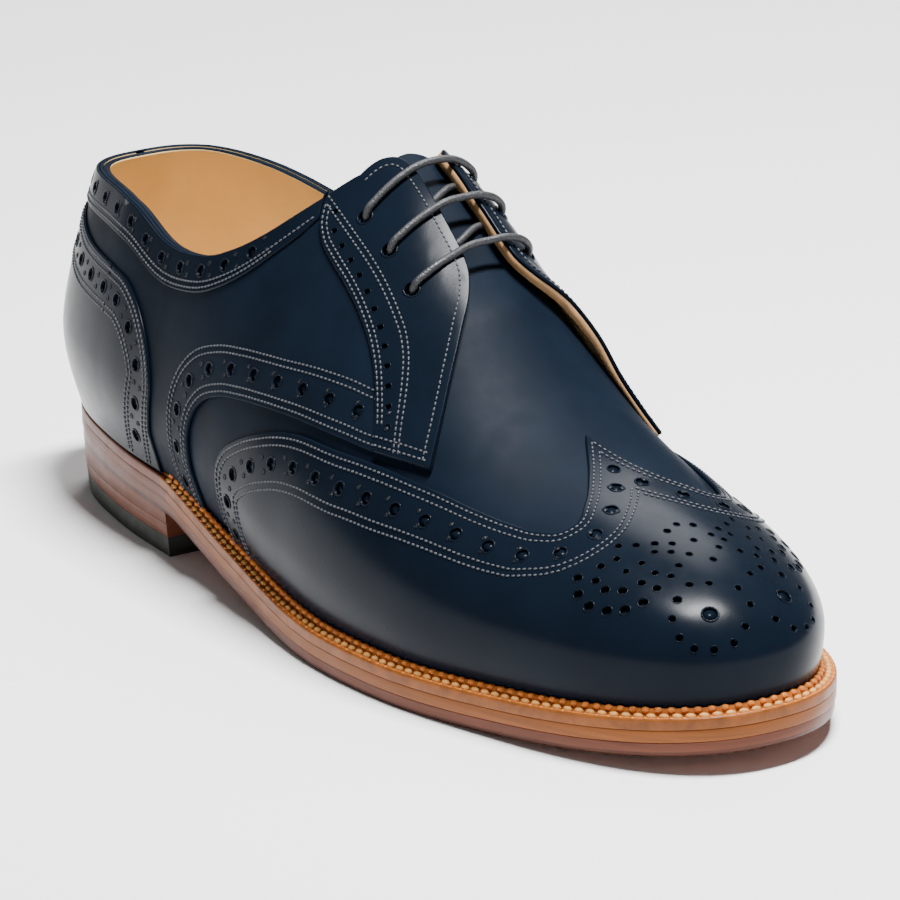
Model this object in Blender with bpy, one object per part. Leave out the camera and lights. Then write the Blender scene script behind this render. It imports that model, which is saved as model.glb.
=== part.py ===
"""Full brogue derby, right shoe: sole layers, heel, hollow upper, overlays and lace bars.

Sizes are in millimetres in the tables and become metres when a mesh is made. +X runs to
the toe, +Y to the inner (medial) side of the foot and +Z up; the sole rests on z = 0.
"""
import math

import bmesh
import bpy
import numpy as np
from mathutils import Vector
from mathutils.geometry import delaunay_2d_cdt

MM = 0.001
COLLECTION = "full_brogue_derby"
ORIGIN = (152.342, 2.336)
SIDES = (-1, 1)
LATERAL, MEDIAL = SIDES

# Sole outline: x, centre line y, half width (before the rounded ends are applied).
SOLE_BACK, SOLE_FRONT = 4.4, 305.0
SOLE_ROWS = (
    (4.4, 4.0, 34.0),
    (20, 3.4, 33.7),
    (40, 2.5, 33.4),
    (60, 1.2, 33.5),
    (85, -0.2, 33.7),
    (128, -2.5, 38.1),
    (171, -1.1, 46.6),
    (207, 1.6, 50.0),
    (250, 6.8, 52.3),
    (305, 7.0, 53.5),
)
HEEL_ROUND, HEEL_POWER = 98.7, 3.0
TOE_ROUND, TOE_POWER = 121.0, 2.21
# Width of welt outside the upper: x, width.
WELT_ROWS = ((0, 2.2), (50, 2.2), (85, 3.0), (120, 4.5), (170, 6.0), (220, 6.0), (305, 6.0))

# Underside of the outsole: flat tread, arch up to the heel breast, toe spring.
X_BREAST, X_TREAD, X_SPRING = 82.0, 181.0, 205.0
HEEL_HEIGHT, TOE_SPRING = 12.8, 6.0
ARCH_POWER, HEEL_SLOPE, SPRING_POWER = 1.6, 0.035, 2.0
# Layers above the underside: bottom and top height of each.
OUTSOLE_LAYER = (0.0, 3.7)
MIDSOLE_LAYER = (4.0, 6.8)
WELT_LAYER = (7.1, 10.0)
INSOLE_LAYER = (7.1, 13.0)
FEATHER = 10.3
GAP = 0.3
OUTSOLE_INSET, MIDSOLE_INSET, HEEL_INSET = 0.5, 0.2, 0.4
WELT_INSIDE, INSOLE_INSIDE = 2.4, 2.9
TOP_PIECE_HEIGHT, LIFT_SPLIT = 5.5, 9.3
HEEL_TAPER = 1.2

# Last sections: x, ridge height, bulge past the feather, height of the widest point, wall and
# top handles of the upper curve (top handle outer side, inner side), y of the ridge.
LAST_ROWS = (
    (4.4, 150.0, 5.0, 22, 0.20, 0.46, 0.46, 4.0),
    (30, 150.0, 5.0, 22, 0.15, 0.22, 0.22, 4.0),
    (52, 150.0, 5.0, 22, 0.18, 0.20, 0.20, 4.0),
    (85, 144.0, 5.0, 22, 0.28, 0.28, 0.32, 5.0),
    (110, 134.0, 6.0, 22, 0.37, 0.30, 0.42, 7.0),
    (140, 120.5, 5.5, 21, 0.43, 0.34, 0.58, 10.0),
    (160, 109.5, 4.0, 19, 0.45, 0.42, 0.64, 10.5),
    (185, 89.5, 3.0, 17, 0.46, 0.52, 0.62, 9.5),
    (205, 73.0, 2.5, 15, 0.50, 0.58, 0.60, 8.5),
    (225, 61.0, 2.5, 14, 0.52, 0.60, 0.60, 7.5),
    (243, 54.5, 2.5, 13, 0.52, 0.60, 0.60, 7.0),
    (275, 50.0, 2.0, 12, 0.48, 0.55, 0.55, 7.0),
    (300, 47.0, 1.5, 11, 0.46, 0.52, 0.52, 7.0),
)
RIDGE, BULGE, WIDEST, WALL_HANDLE, TOP_OUTER, TOP_INNER, RIDGE_Y = range(1, 8)
X_HEEL, X_TOE = 52.0, 243.0
TAU_WIDEST = 0.25
FOOT_OUT, FOOT_UP, FOOT_MID = 0.35, 0.28, 0.60

# Top line of the collar: x of the feather below it, height outer side, height inner side.
COLLAR_ROWS = (
    (6.6, 91.0, 91.0),
    (16, 91.3, 91.8),
    (30, 91.5, 92.0),
    (45, 91.5, 91.5),
    (58, 90.5, 90.6),
    (77, 86.3, 88.8),
    (90, 86.3, 89.6),
    (105, 89.5, 93.0),
    (119, 97.4, 100.5),
    (132, 108.8, 110.5),
    (138, 115.0, 117.0),
)
# Throat: x, distance of the edge from the ridge on the outer and on the inner side.
THROAT_ROWS = (
    (138, 12.5, 7.0),
    (144, 9.2, 5.0),
    (162, 7.6, 4.5),
    (172, 7.0, 4.8),
    (178, 6.0, 4.4),
    (184, 0.0, 0.0),
)
X_CORNER, X_SLOT = 138.0, 184.0
WALL = 1.8

# Upper grid: stations along the foot, fan steps at toe and heel, rows from welt to top.
STATIONS = (
    52, 59, 66, 74, 82, 90, 98, 106, 114, 122, 130, 138, 144, 151, 158, 165, 172, 178, 184,
    191, 198, 206, 215, 224, 233.5, 243,
)
FAN_STEPS = 10
ROW_SHARES = (0, 0.06, 0.13, 0.21, 0.30, 0.39, 0.48, 0.57, 0.66, 0.745, 0.83, 0.915, 1.0)

# Panel lines on the flat pattern: x, distance from the ridge (outer side).
WING_LINE = (
    (122.5, 114.0), (123.5, 105.7), (127.0, 100.0), (133.0, 94.5), (146.3, 85.0),
    (160.0, 76.2), (173.3, 67.9), (187.0, 58.5), (200.4, 49.5), (213.0, 42.3),
    (224.7, 36.6), (234.0, 32.2), (241.6, 28.4), (247.0, 23.0), (241.5, 15.5),
    (232.5, 8.5), (219.0, 0.0),
)
QUARTER_LINE = (
    (104.0, 118.0), (104.6, 108.7), (106.6, 101.5), (110.7, 95.5), (116.5, 89.8),
    (123.5, 84.5), (132.0, 79.6), (141.5, 75.1), (155.0, 68.9), (168.7, 62.6),
    (184.8, 54.0), (196.0, 47.6), (207.0, 41.3),
)
FLAP_LINE = (
    (207.0, 41.3), (201.5, 33.6), (194.5, 25.0), (187.5, 17.0), (181.0, 10.4),
    (176.0, 7.6), (172.0, 7.2), (165.0, 7.4), (158.0, 7.9), (151.0, 8.6), (144.5, 9.4),
    (138.6, 12.4),
)
FACING_LINE = (
    (134.3, 25.2), (144.0, 26.4), (153.5, 27.5), (162.0, 28.7), (169.9, 30.0),
    (176.5, 31.3), (182.5, 33.4), (187.5, 36.2), (191.5, 39.4), (195.0, 43.3), (197.6, 46.6),
)
COUNTER_LINE = (
    (79.4, 120.0), (81.6, 113.0), (82.6, 106.4), (80.6, 99.8), (76.4, 94.0),
    (70.0, 88.6), (61.0, 84.2), (52.0, 82.0), (38.5, 80.0), (20.0, 73.8), (4.0, 64.0),
    (-9.0, 52.0), (-19.0, 37.0), (-26.0, 19.0),
)
COUNTER_BACK = -28.0
X_JOIN = 190.0
INNER_SHARE_ROWS = ((80, 1.0), (140, 1.0), (175, 0.95), (207, 0.92), (250, 1.0))
FEATHER_LIFT = 1.2
COLLAR_DROP = 0.5
PANEL_BASE, COUNTER_BASE = 0.3, 0.5
QUARTER_TOP, WING_TOP, FACING_TOP, COUNTER_TOP = 1.3, 1.4, 2.0, 2.0
EDGE_MARGIN = 2.6
LINE_STEP = 7.0
TONGUE_LINE = ((134.0, 11.0), (136.0, 14.0), (146.0, 17.0), (160.0, 18.0), (176.0, 18.0), (188.0, 15.0))
TONGUE_INNER_SHARE = 0.85
TONGUE_TOP, TONGUE_THICK = -2.6, 1.6

# Lace bars: x, distance from the ridge at the outer and the inner eyelet.
LACE_ROWS = (
    ("lace_bar_top", 148.5, 23.0, 13.0),
    ("lace_bar_middle", 160.5, 23.2, 12.8),
    ("lace_bar_bottom", 172.0, 23.3, 13.2),
)
LACE_RADIUS = 1.25
LACE_STEPS, LACE_SIDES = 14, 8

TABLE_STATIONS, TABLE_TAUS, TABLE_SHARES = 401, 161, 97
TINY = 1e-3
NORMAL_STEP = 0.25
WELD = 5
SNAP = 0.05

NAVY = (0.012, 0.016, 0.026, 1.0)
MATERIALS = {
    "outsole_leather": ((0.30, 0.14, 0.08, 1.0), 0.45),
    "welt_leather": ((0.50, 0.20, 0.06, 1.0), 0.50),
    "heel_rubber": ((0.03, 0.035, 0.03, 1.0), 0.70),
    "insole_leather": ((0.60, 0.36, 0.17, 1.0), 0.60),
    "upper_leather": (NAVY, 0.25),
    "lace_cotton": ((0.03, 0.03, 0.035, 1.0), 0.65),
}


def curve(rows, column, x):
    """Smooth curve through one column of a table."""
    xs = np.array([row[0] for row in rows], float)
    ys = np.array([row[column] for row in rows], float)
    slopes = np.gradient(ys, xs)
    slopes[1:-1] = (ys[2:] - ys[:-2]) / (xs[2:] - xs[:-2])
    x = np.clip(np.asarray(x, float), xs[0], xs[-1])
    i = np.clip(np.searchsorted(xs, x) - 1, 0, len(xs) - 2)
    h = xs[i + 1] - xs[i]
    t = (x - xs[i]) / h
    start = (2 * t ** 3 - 3 * t * t + 1) * ys[i] + (t ** 3 - 2 * t * t + t) * h * slopes[i]
    return start + (3 * t * t - 2 * t ** 3) * ys[i + 1] + (t ** 3 - t * t) * h * slopes[i + 1]


def last(column, x):
    return curve(LAST_ROWS, column, x)


def end_cap(x):
    """Share of the half width left by the rounded heel and toe."""
    u = np.clip((SOLE_BACK + HEEL_ROUND - x) / HEEL_ROUND, 0, 1)
    v = np.clip((x - SOLE_FRONT + TOE_ROUND) / TOE_ROUND, 0, 1)
    heel = np.maximum(0, 1 - u ** HEEL_POWER) ** (1 / HEEL_POWER)
    return heel * np.maximum(0, 1 - v ** TOE_POWER) ** (1 / TOE_POWER)


def outline(q, side):
    """Edge of the sole; q runs from 0 at the heel to 1 at the toe."""
    x = SOLE_BACK + (SOLE_FRONT - SOLE_BACK) * (1 - np.cos(np.pi * np.asarray(q, float))) / 2
    y = curve(SOLE_ROWS, 1, x) + side * curve(SOLE_ROWS, 2, x) * end_cap(x)
    return np.stack([x, y], -1)


def inset_by(q, side, width):
    """Edge of the sole moved inwards."""
    q = np.asarray(q, float)
    p = outline(q, side)
    along = outline(np.clip(q + TINY, 0, 1), side) - outline(np.clip(q - TINY, 0, 1), side)
    out = np.stack([-along[..., 1], along[..., 0]], -1) * side
    out /= np.linalg.norm(out, axis=-1, keepdims=True)
    out = np.where((q < 2 * TINY)[..., None], np.array([-1.0, 0.0]), out)
    out = np.where((q > 1 - 2 * TINY)[..., None], np.array([1.0, 0.0]), out)
    return p - out * np.asarray(width, float)[..., None]


def feather_line(q, side, extra=0.0):
    """Line where the upper meets the welt."""
    return inset_by(q, side, curve(WELT_ROWS, 1, outline(q, side)[..., 0]) + extra)


def underside(x):
    """Height of the outsole's lower face."""
    x = np.asarray(x, float)
    t = np.clip((X_TREAD - x) / (X_TREAD - X_BREAST), 0, None)
    z = np.where(t < 1, HEEL_HEIGHT * t ** ARCH_POWER, HEEL_HEIGHT + (X_BREAST - x) * HEEL_SLOPE)
    return z + TOE_SPRING * np.clip((x - X_SPRING) / (SOLE_FRONT - X_SPRING), 0, None) ** SPRING_POWER


def bezier(p0, p1, p2, p3, t):
    s = 1 - t
    return p0 * s ** 3 + 3 * p1 * s * s * t + 3 * p2 * s * t * t + p3 * t ** 3


RIDGE_SLOPE = -float(last(RIDGE, X_TOE + 1) - last(RIDGE, X_TOE - 1)) / 2


def station(q, side):
    """Sizes of the section of the last that starts at q on the feather line."""
    edge = feather_line(q, side)
    x = edge[..., 0]
    centre_x = np.clip(x, X_HEEL, X_TOE)
    centre = np.stack([centre_x, last(RIDGE_Y, centre_x)], -1)
    along = edge - centre
    reach = np.linalg.norm(along, axis=-1)
    along /= reach[..., None]
    base = underside(x) + FEATHER
    top = TOP_OUTER if side == LATERAL else TOP_INNER
    return {
        "x": x,
        "centre": centre,
        "along": along,
        "reach": reach,
        "base": base,
        "bulge": last(BULGE, x),
        "widest": last(WIDEST, x),
        "height": last(RIDGE, centre_x) - base,
        "wall": last(WALL_HANDLE, x),
        "top": last(top, x),
        "drop": np.where(x > X_TOE, RIDGE_SLOPE * np.clip(along[..., 0], 0, None), 0.0),
    }


def section(sizes, tau):
    """Distance from the ridge and height; tau runs from 0 at the welt to 1 at the ridge."""
    a, b = sizes["reach"], sizes["bulge"]
    low, high = sizes["widest"], sizes["height"]
    wide = a + b
    t = np.clip(tau / TAU_WIDEST, 0, 1)
    u = np.clip((tau - TAU_WIDEST) / (1 - TAU_WIDEST), 0, 1)
    tip = sizes["top"] * wide
    out = np.where(tau < TAU_WIDEST, bezier(a, a + FOOT_OUT * b, wide, wide, t), bezier(wide, wide, tip, 0 * wide, u))
    foot = bezier(0 * a, FOOT_UP * low, FOOT_MID * low, low, t)
    head = bezier(low, low + sizes["wall"] * (high - low), high - sizes["drop"] * tip, high, u)
    return out, np.where(tau < TAU_WIDEST, foot, head)


def last_point(sizes, tau):
    out, up = section(sizes, tau)
    plan = sizes["centre"] + sizes["along"] * out[..., None]
    return np.concatenate([plan, (sizes["base"] + up)[..., None]], -1)


def arc_table(side):
    """Arc length from the ridge and its inverse for many stations of one side."""
    q = np.linspace(0, 1, TABLE_STATIONS)
    sizes = station(q, side)
    wide = {key: value[:, None] for key, value in sizes.items()}
    tau = np.linspace(1, 0, TABLE_TAUS)
    out, up = section(wide, tau[None, :] + 0 * wide["reach"])
    steps = np.hypot(np.diff(out, axis=1), np.diff(up, axis=1))
    arc = np.concatenate([np.zeros((len(q), 1)), np.cumsum(steps, 1)], 1)
    share = np.linspace(0, 1, TABLE_SHARES)
    inverse = np.array([np.interp(share * row[-1], row, tau) for row in arc])
    heights = (sizes["base"][:, None] + up)
    angle = np.arctan2(np.abs(sizes["along"][:, 1]), sizes["along"][:, 0])
    return {"q": q, "x": sizes["x"], "arc": arc, "inverse": inverse, "up": heights, "angle": angle}


TABLES = {side: arc_table(side) for side in SIDES}


def locate(x, y):
    """Station, side and arc length from the ridge of a point of the flat pattern."""
    side = np.where(y < 0, LATERAL, MEDIAL)
    q = np.zeros_like(x)
    arc = np.abs(y)
    for hand in SIDES:
        table = TABLES[hand]
        here = side == hand
        flat = here & (x >= X_HEEL) & (x <= X_TOE)
        q[flat] = np.interp(x[flat], table["x"], table["q"])
        for fan, pivot, part in (
            (here & (x > X_TOE), X_TOE, table["x"] >= X_TOE),
            (here & (x < X_HEEL), X_HEEL, table["x"] <= X_HEEL),
        ):
            turn = np.arctan2(hand * y[fan], x[fan] - pivot)
            q[fan] = np.interp(-turn, -table["angle"][part], table["q"][part])
            arc[fan] = np.hypot(x[fan] - pivot, y[fan])
    return q, side, arc


def on_last(x, y):
    """Points of the last's surface for points of the flat pattern."""
    x = np.asarray(x, float)
    y = np.asarray(y, float)
    q, side, arc = locate(x, y)
    points = np.zeros(x.shape + (3,))
    for hand in SIDES:
        here = side == hand
        if not here.any():
            continue
        table = TABLES[hand]
        full = np.interp(q[here], table["q"], table["arc"][:, -1])
        j = np.clip(arc[here] / full, 0, 1) * (TABLE_SHARES - 1)
        i = q[here] * (TABLE_STATIONS - 1)
        i0 = np.clip(i.astype(int), 0, TABLE_STATIONS - 2)
        j0 = np.clip(j.astype(int), 0, TABLE_SHARES - 2)
        a, b = i - i0, j - j0
        inv = table["inverse"]
        near = inv[i0, j0] * (1 - b) + inv[i0, j0 + 1] * b
        far = inv[i0 + 1, j0] * (1 - b) + inv[i0 + 1, j0 + 1] * b
        points[here] = last_point(station(q[here], hand), near * (1 - a) + far * a)
    return points


def offset_points(flat, distance):
    """Points of the last moved along its outward normal."""
    flat = np.asarray(flat, float)
    x, y = flat[:, 0], flat[:, 1]
    step = NORMAL_STEP
    du = on_last(x + step, y) - on_last(x - step, y)
    dv = on_last(x, y + step) - on_last(x, y - step)
    normal = np.cross(du, dv)
    normal /= np.linalg.norm(normal, axis=1, keepdims=True)
    return on_last(x, y) + normal * np.asarray(distance, float).reshape(-1, 1)


def flat_point(q, arc, side):
    """Point of the flat pattern at an arc length from the ridge on a station."""
    sizes = station(np.array([q]), side)
    x = float(sizes["x"][0])
    nominal = min(STATIONS, key=lambda value: abs(value - x))
    if abs(nominal - x) < SNAP:
        x = float(nominal)
    if X_HEEL <= x <= X_TOE:
        return (x, side * arc)
    pivot = X_TOE if x > X_TOE else X_HEEL
    along = sizes["along"][0]
    across = along[1] if abs(along[1]) > TINY else 0.0
    return (pivot + along[0] * arc, across * arc)


def arc_full(q, side):
    table = TABLES[side]
    return float(np.interp(q, table["q"], table["arc"][:, -1]))


def arc_at_height(q, side, z):
    """Arc length from the ridge to a height on a station."""
    table = TABLES[side]
    i = q * (TABLE_STATIONS - 1)
    i0 = min(int(i), TABLE_STATIONS - 2)
    share = i - i0
    up = table["up"][i0] * (1 - share) + table["up"][i0 + 1] * share
    arc = table["arc"][i0] * (1 - share) + table["arc"][i0 + 1] * share
    return float(np.interp(-z, -up, arc))


def station_q(side):
    """Station values of the upper grid, from the heel to the toe."""
    table = TABLES[side]
    heel = table["x"] <= X_HEEL
    toe = table["x"] >= X_TOE
    turns = np.linspace(math.pi, math.pi / 2, FAN_STEPS + 1)[:-1]
    back = np.interp(-turns, -table["angle"][heel], table["q"][heel])
    middle = np.interp(np.array(STATIONS, float), table["x"], table["q"])
    turns = np.linspace(math.pi / 2, 0, FAN_STEPS + 1)[1:]
    front = np.interp(-turns, -table["angle"][toe], table["q"][toe])
    back[0], front[-1] = 0.0, 1.0
    return np.concatenate([back, middle, front])


def top_arc(q, side):
    """Arc length from the ridge to the upper's top edge on a station."""
    x = float(feather_line(np.array([q]), side)[0, 0])
    column = 1 if side == LATERAL else 2
    if x < X_CORNER:
        return arc_at_height(q, side, float(curve(COLLAR_ROWS, column, x)))
    if x < X_SLOT - TINY:
        return max(0.0, float(curve(THROAT_ROWS, column, x)))
    return 0.0


def upper_columns(side):
    """Rows of flat-pattern points from the welt to the top edge on each station."""
    columns = []
    for q in station_q(side):
        full, top = arc_full(q, side), top_arc(q, side)
        columns.append([flat_point(q, full + (top - full) * share, side) for share in ROW_SHARES])
    return columns


def make_object(name, points, faces, material):
    """One closed mesh in metres with its faces out."""
    mesh = bpy.data.meshes.new(name)
    bm = bmesh.new()
    shift = Vector((ORIGIN[0], ORIGIN[1], 0.0))
    verts = [bm.verts.new((Vector(point) - shift) * MM) for point in points]
    for face in faces:
        if len(set(face)) > 2:
            bm.faces.new([verts[k] for k in face])
    bmesh.ops.delete(bm, geom=[v for v in bm.verts if not v.link_faces], context="VERTS")
    bmesh.ops.triangulate(bm, faces=bm.faces[:])
    bmesh.ops.recalc_face_normals(bm, faces=bm.faces[:])
    if bm.calc_volume(signed=True) < 0:
        bmesh.ops.reverse_faces(bm, faces=bm.faces[:])
    bm.to_mesh(mesh)
    bm.free()
    mesh.materials.append(material)
    obj = bpy.data.objects.new(name, mesh)
    bpy.data.collections[COLLECTION].objects.link(obj)
    return obj


class Net:
    """Points shared by position, with the faces between them."""

    def __init__(self):
        self.points = []
        self.index = {}
        self.faces = []

    def add(self, point):
        key = tuple(round(float(value), WELD) + 0.0 for value in point)
        if key not in self.index:
            self.index[key] = len(self.points)
            self.points.append(key)
        return self.index[key]

    def face(self, *corners):
        ring = []
        for corner in corners:
            if not ring or corner != ring[-1]:
                ring.append(corner)
        if len(ring) > 1 and ring[0] == ring[-1]:
            ring.pop()
        if len(set(ring)) > 2:
            self.faces.append(tuple(ring))


def make_upper(material):
    """Hollow shell with open collar, throat and underside."""
    net = Net()
    grids = {}
    for side in SIDES:
        columns = upper_columns(side)
        flat = np.array([point for column in columns for point in column])
        shape = (len(columns), len(ROW_SHARES))
        for skin, distance in (("outer", 0.0), ("inner", -WALL)):
            points = offset_points(flat, distance)
            grids[side, skin] = np.array([net.add(point) for point in points]).reshape(shape)
        outer, inner = grids[side, "outer"], grids[side, "inner"]
        tops = [top_arc(q, side) > 0 for q in station_q(side)]
        for i in range(shape[0] - 1):
            for j in range(shape[1] - 1):
                for grid in (outer, inner):
                    net.face(grid[i, j], grid[i + 1, j], grid[i + 1, j + 1], grid[i, j + 1])
            net.face(outer[i, 0], outer[i + 1, 0], inner[i + 1, 0], inner[i, 0])
            if tops[i] or tops[i + 1]:
                net.face(outer[i, -1], outer[i + 1, -1], inner[i + 1, -1], inner[i, -1])
    make_object("upper", net.points, net.faces, material)


def make_layer(name, qs, lines, heights, material):
    """Plate between two outlines, closed at both ends; lines give a point for q and side."""
    net = Net()
    rings = []
    for line, height in zip(lines, heights):
        ring = []
        for q in qs:
            row = []
            for side in SIDES:
                x, y = line(np.array([q]), side)[0]
                row.append(net.add((x, y, float(height(x)))))
            ring.append(row)
        rings.append(ring)
    low, high = rings
    for ring in rings:
        for a, b in zip(ring, ring[1:]):
            net.face(a[0], b[0], b[1], a[1])
    for k in range(2):
        for (a, b), (c, d) in zip(zip(low, low[1:]), zip(high, high[1:])):
            net.face(a[k], b[k], d[k], c[k])
    net.face(low[0][0], low[0][1], high[0][1], high[0][0])
    net.face(low[-1][0], low[-1][1], high[-1][1], high[-1][0])
    make_object(name, net.points, net.faces, material)


def make_ring(name, qs, outer, inner, heights, material):
    """Closed ring between an outer and an inner outline."""
    net = Net()
    loops = []
    for line, height in ((outer, heights[0]), (outer, heights[1]), (inner, heights[1]), (inner, heights[0])):
        loop = []
        for side, order in ((LATERAL, qs), (MEDIAL, qs[::-1][1:-1])):
            for q in order:
                x, y = line(np.array([q]), side)[0]
                loop.append(net.add((x, y, float(height(x)))))
        loops.append(loop)
    count = len(loops[0])
    for first, second in zip(loops, loops[1:] + loops[:1]):
        for i in range(count):
            j = (i + 1) % count
            net.face(first[i], first[j], second[j], second[i])
    make_object(name, net.points, net.faces, material)


def above(offset):
    return lambda x: underside(x) + offset


def level(z):
    return lambda x: z


def sole_line(inset):
    return lambda q, side: inset_by(q, side, np.full(np.shape(q), inset))


def inner_line(extra):
    return lambda q, side: feather_line(q, side, extra)


def q_of_x(x):
    return math.acos(1 - 2 * (x - SOLE_BACK) / (SOLE_FRONT - SOLE_BACK)) / math.pi


def make_sole(materials):
    """Outsole, midsole, welt, insole and heel layers."""
    near = [SOLE_BACK + x for x in (0.0, 0.2, 0.9, 2.6, 5.5, 10.5, 18, 28)]
    middle = (44, 57, 70, X_BREAST, 94, 106, 118, 131, 144, 157, 169, X_TREAD, 193, X_SPRING, 217, 230, 243)
    far = [SOLE_FRONT - x for x in (50, 39, 29, 20, 12.5, 6.5, 2.5, 0.7, 0.0)]
    qs = [q_of_x(x) for x in (*near, *middle, *far)]
    leather = materials["outsole_leather"]
    for name, inset, layer in (
        ("outsole", OUTSOLE_INSET, OUTSOLE_LAYER),
        ("midsole", MIDSOLE_INSET, MIDSOLE_LAYER),
    ):
        make_layer(name, qs, [sole_line(inset)] * 2, [above(z) for z in layer], leather)
    welt = [above(z) for z in WELT_LAYER]
    make_ring("welt", qs, sole_line(0.0), inner_line(WELT_INSIDE), welt, materials["welt_leather"])
    insole = [above(z) for z in INSOLE_LAYER]
    make_layer("insole", qs, [inner_line(INSOLE_INSIDE)] * 2, insole, materials["insole_leather"])
    heel = [q for q in qs if q <= q_of_x(X_BREAST) + TINY]
    taper = HEEL_TAPER / HEEL_HEIGHT
    levels = (
        ("heel_top_piece", level(0.0), level(TOP_PIECE_HEIGHT), 0.0, TOP_PIECE_HEIGHT, "heel_rubber"),
        ("heel_lift_1", level(TOP_PIECE_HEIGHT + GAP), level(LIFT_SPLIT), TOP_PIECE_HEIGHT, LIFT_SPLIT, "outsole_leather"),
        ("heel_lift_2", level(LIFT_SPLIT + GAP), above(-GAP), LIFT_SPLIT, HEEL_HEIGHT, "outsole_leather"),
    )
    for name, bottom, top, low, high, slot in levels:
        lines = [sole_line(HEEL_INSET + (HEEL_HEIGHT - z) * taper) for z in (low, high)]
        make_layer(name, heel, lines, [bottom, top], materials[slot])


def densify(points):
    """Points of a line with long steps split."""
    line = [points[0]]
    for a, b in zip(points, points[1:]):
        count = max(1, int(math.dist(a, b) / LINE_STEP))
        for k in range(1, count + 1):
            line.append((a[0] + (b[0] - a[0]) * k / count, a[1] + (b[1] - a[1]) * k / count))
    return line


def on_side(points, side):
    """A line of the outer side, or the same line fitted to the inner side."""
    if side == LATERAL:
        return [(x, -y) for x, y in points]
    return [(x, y * float(curve(INNER_SHARE_ROWS, 1, x))) for x, y in points]


def welt_edge(x_from, x_to, side):
    """Flat-pattern line just above the welt between two places along the foot."""
    qs = station_q(side)
    xs = [float(feather_line(np.array([q]), side)[0, 0]) for q in qs]
    table = TABLES[side]
    picked = [float(np.interp(x_from, table["x"], table["q"]))]
    inside = [q for q, x in zip(qs, xs) if min(x_from, x_to) + 1 < x < max(x_from, x_to) - 1]
    picked += inside if x_to > x_from else inside[::-1]
    picked.append(float(np.interp(x_to, table["x"], table["q"])))
    return [flat_point(q, arc_full(q, side) - FEATHER_LIFT, side) for q in picked]


def collar_edge(x_from, x_to, side):
    """Flat-pattern line just below the collar's top edge, from front to back."""
    qs = [q for q in station_q(side)]
    table = TABLES[side]
    xs = [float(feather_line(np.array([q]), side)[0, 0]) for q in qs]
    picked = [float(np.interp(x_from, table["x"], table["q"]))]
    picked += [q for q, x in zip(qs, xs) if x_to + 1 < x < x_from - 1][::-1]
    picked.append(float(np.interp(x_to, table["x"], table["q"])))
    return [flat_point(q, top_arc(q, side) + COLLAR_DROP, side) for q in picked]


def inside_margin(points, ring, margin):
    """Which points lie inside a ring and clear of its edge."""
    p = np.asarray(points, float)
    a = np.asarray(ring, float)
    b = np.roll(a, -1, axis=0)
    inside = np.zeros(len(p), bool)
    clear = np.full(len(p), np.inf)
    for (ax, ay), (bx, by) in zip(a, b):
        cross = (ay > p[:, 1]) != (by > p[:, 1])
        rise = by - ay if by != ay else TINY
        inside ^= cross & (p[:, 0] < (bx - ax) * (p[:, 1] - ay) / rise + ax)
        length = max((bx - ax) ** 2 + (by - ay) ** 2, TINY)
        t = np.clip(((p[:, 0] - ax) * (bx - ax) + (p[:, 1] - ay) * (by - ay)) / length, 0, 1)
        clear = np.minimum(clear, np.hypot(p[:, 0] - ax - t * (bx - ax), p[:, 1] - ay - t * (by - ay)))
    return inside & (clear > margin)


def make_panel(name, ring, low, high, grid, material):
    """Sheet of leather over the last between two heights above it."""
    ring = [point for k, point in enumerate(ring) if math.dist(point, ring[k - 1]) > TINY]
    ring = densify(ring + ring[:1])[:-1]
    inner = [tuple(p) for p, keep in zip(grid, inside_margin(grid, ring, EDGE_MARGIN)) if keep]
    count = len(ring)
    verts = [Vector(p) for p in ring + inner]
    edges = [(k, (k + 1) % count) for k in range(count)]
    flat, _, faces, _, _, _ = delaunay_2d_cdt(verts, edges, [list(range(count))], 1, TINY * TINY)
    flat = np.array([tuple(v) for v in flat])
    points = np.concatenate([offset_points(flat, high), offset_points(flat, low)])
    shift = len(flat)
    solid = [tuple(face) for face in faces]
    solid += [tuple(k + shift for k in reversed(face)) for face in faces]
    uses = {}
    for face in faces:
        for a, b in zip(face, list(face[1:]) + [face[0]]):
            uses[a, b] = True
    for a, b in uses:
        if (b, a) not in uses:
            solid.append((b, a, a + shift, b + shift))
    make_object(name, points, solid, material)


def grid_points():
    """Flat-pattern points of the upper's grid, each once."""
    seen = {}
    for side in SIDES:
        for column in upper_columns(side):
            for point in column:
                seen[round(point[0], 2), round(point[1], 2)] = point
    return list(seen.values())


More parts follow.
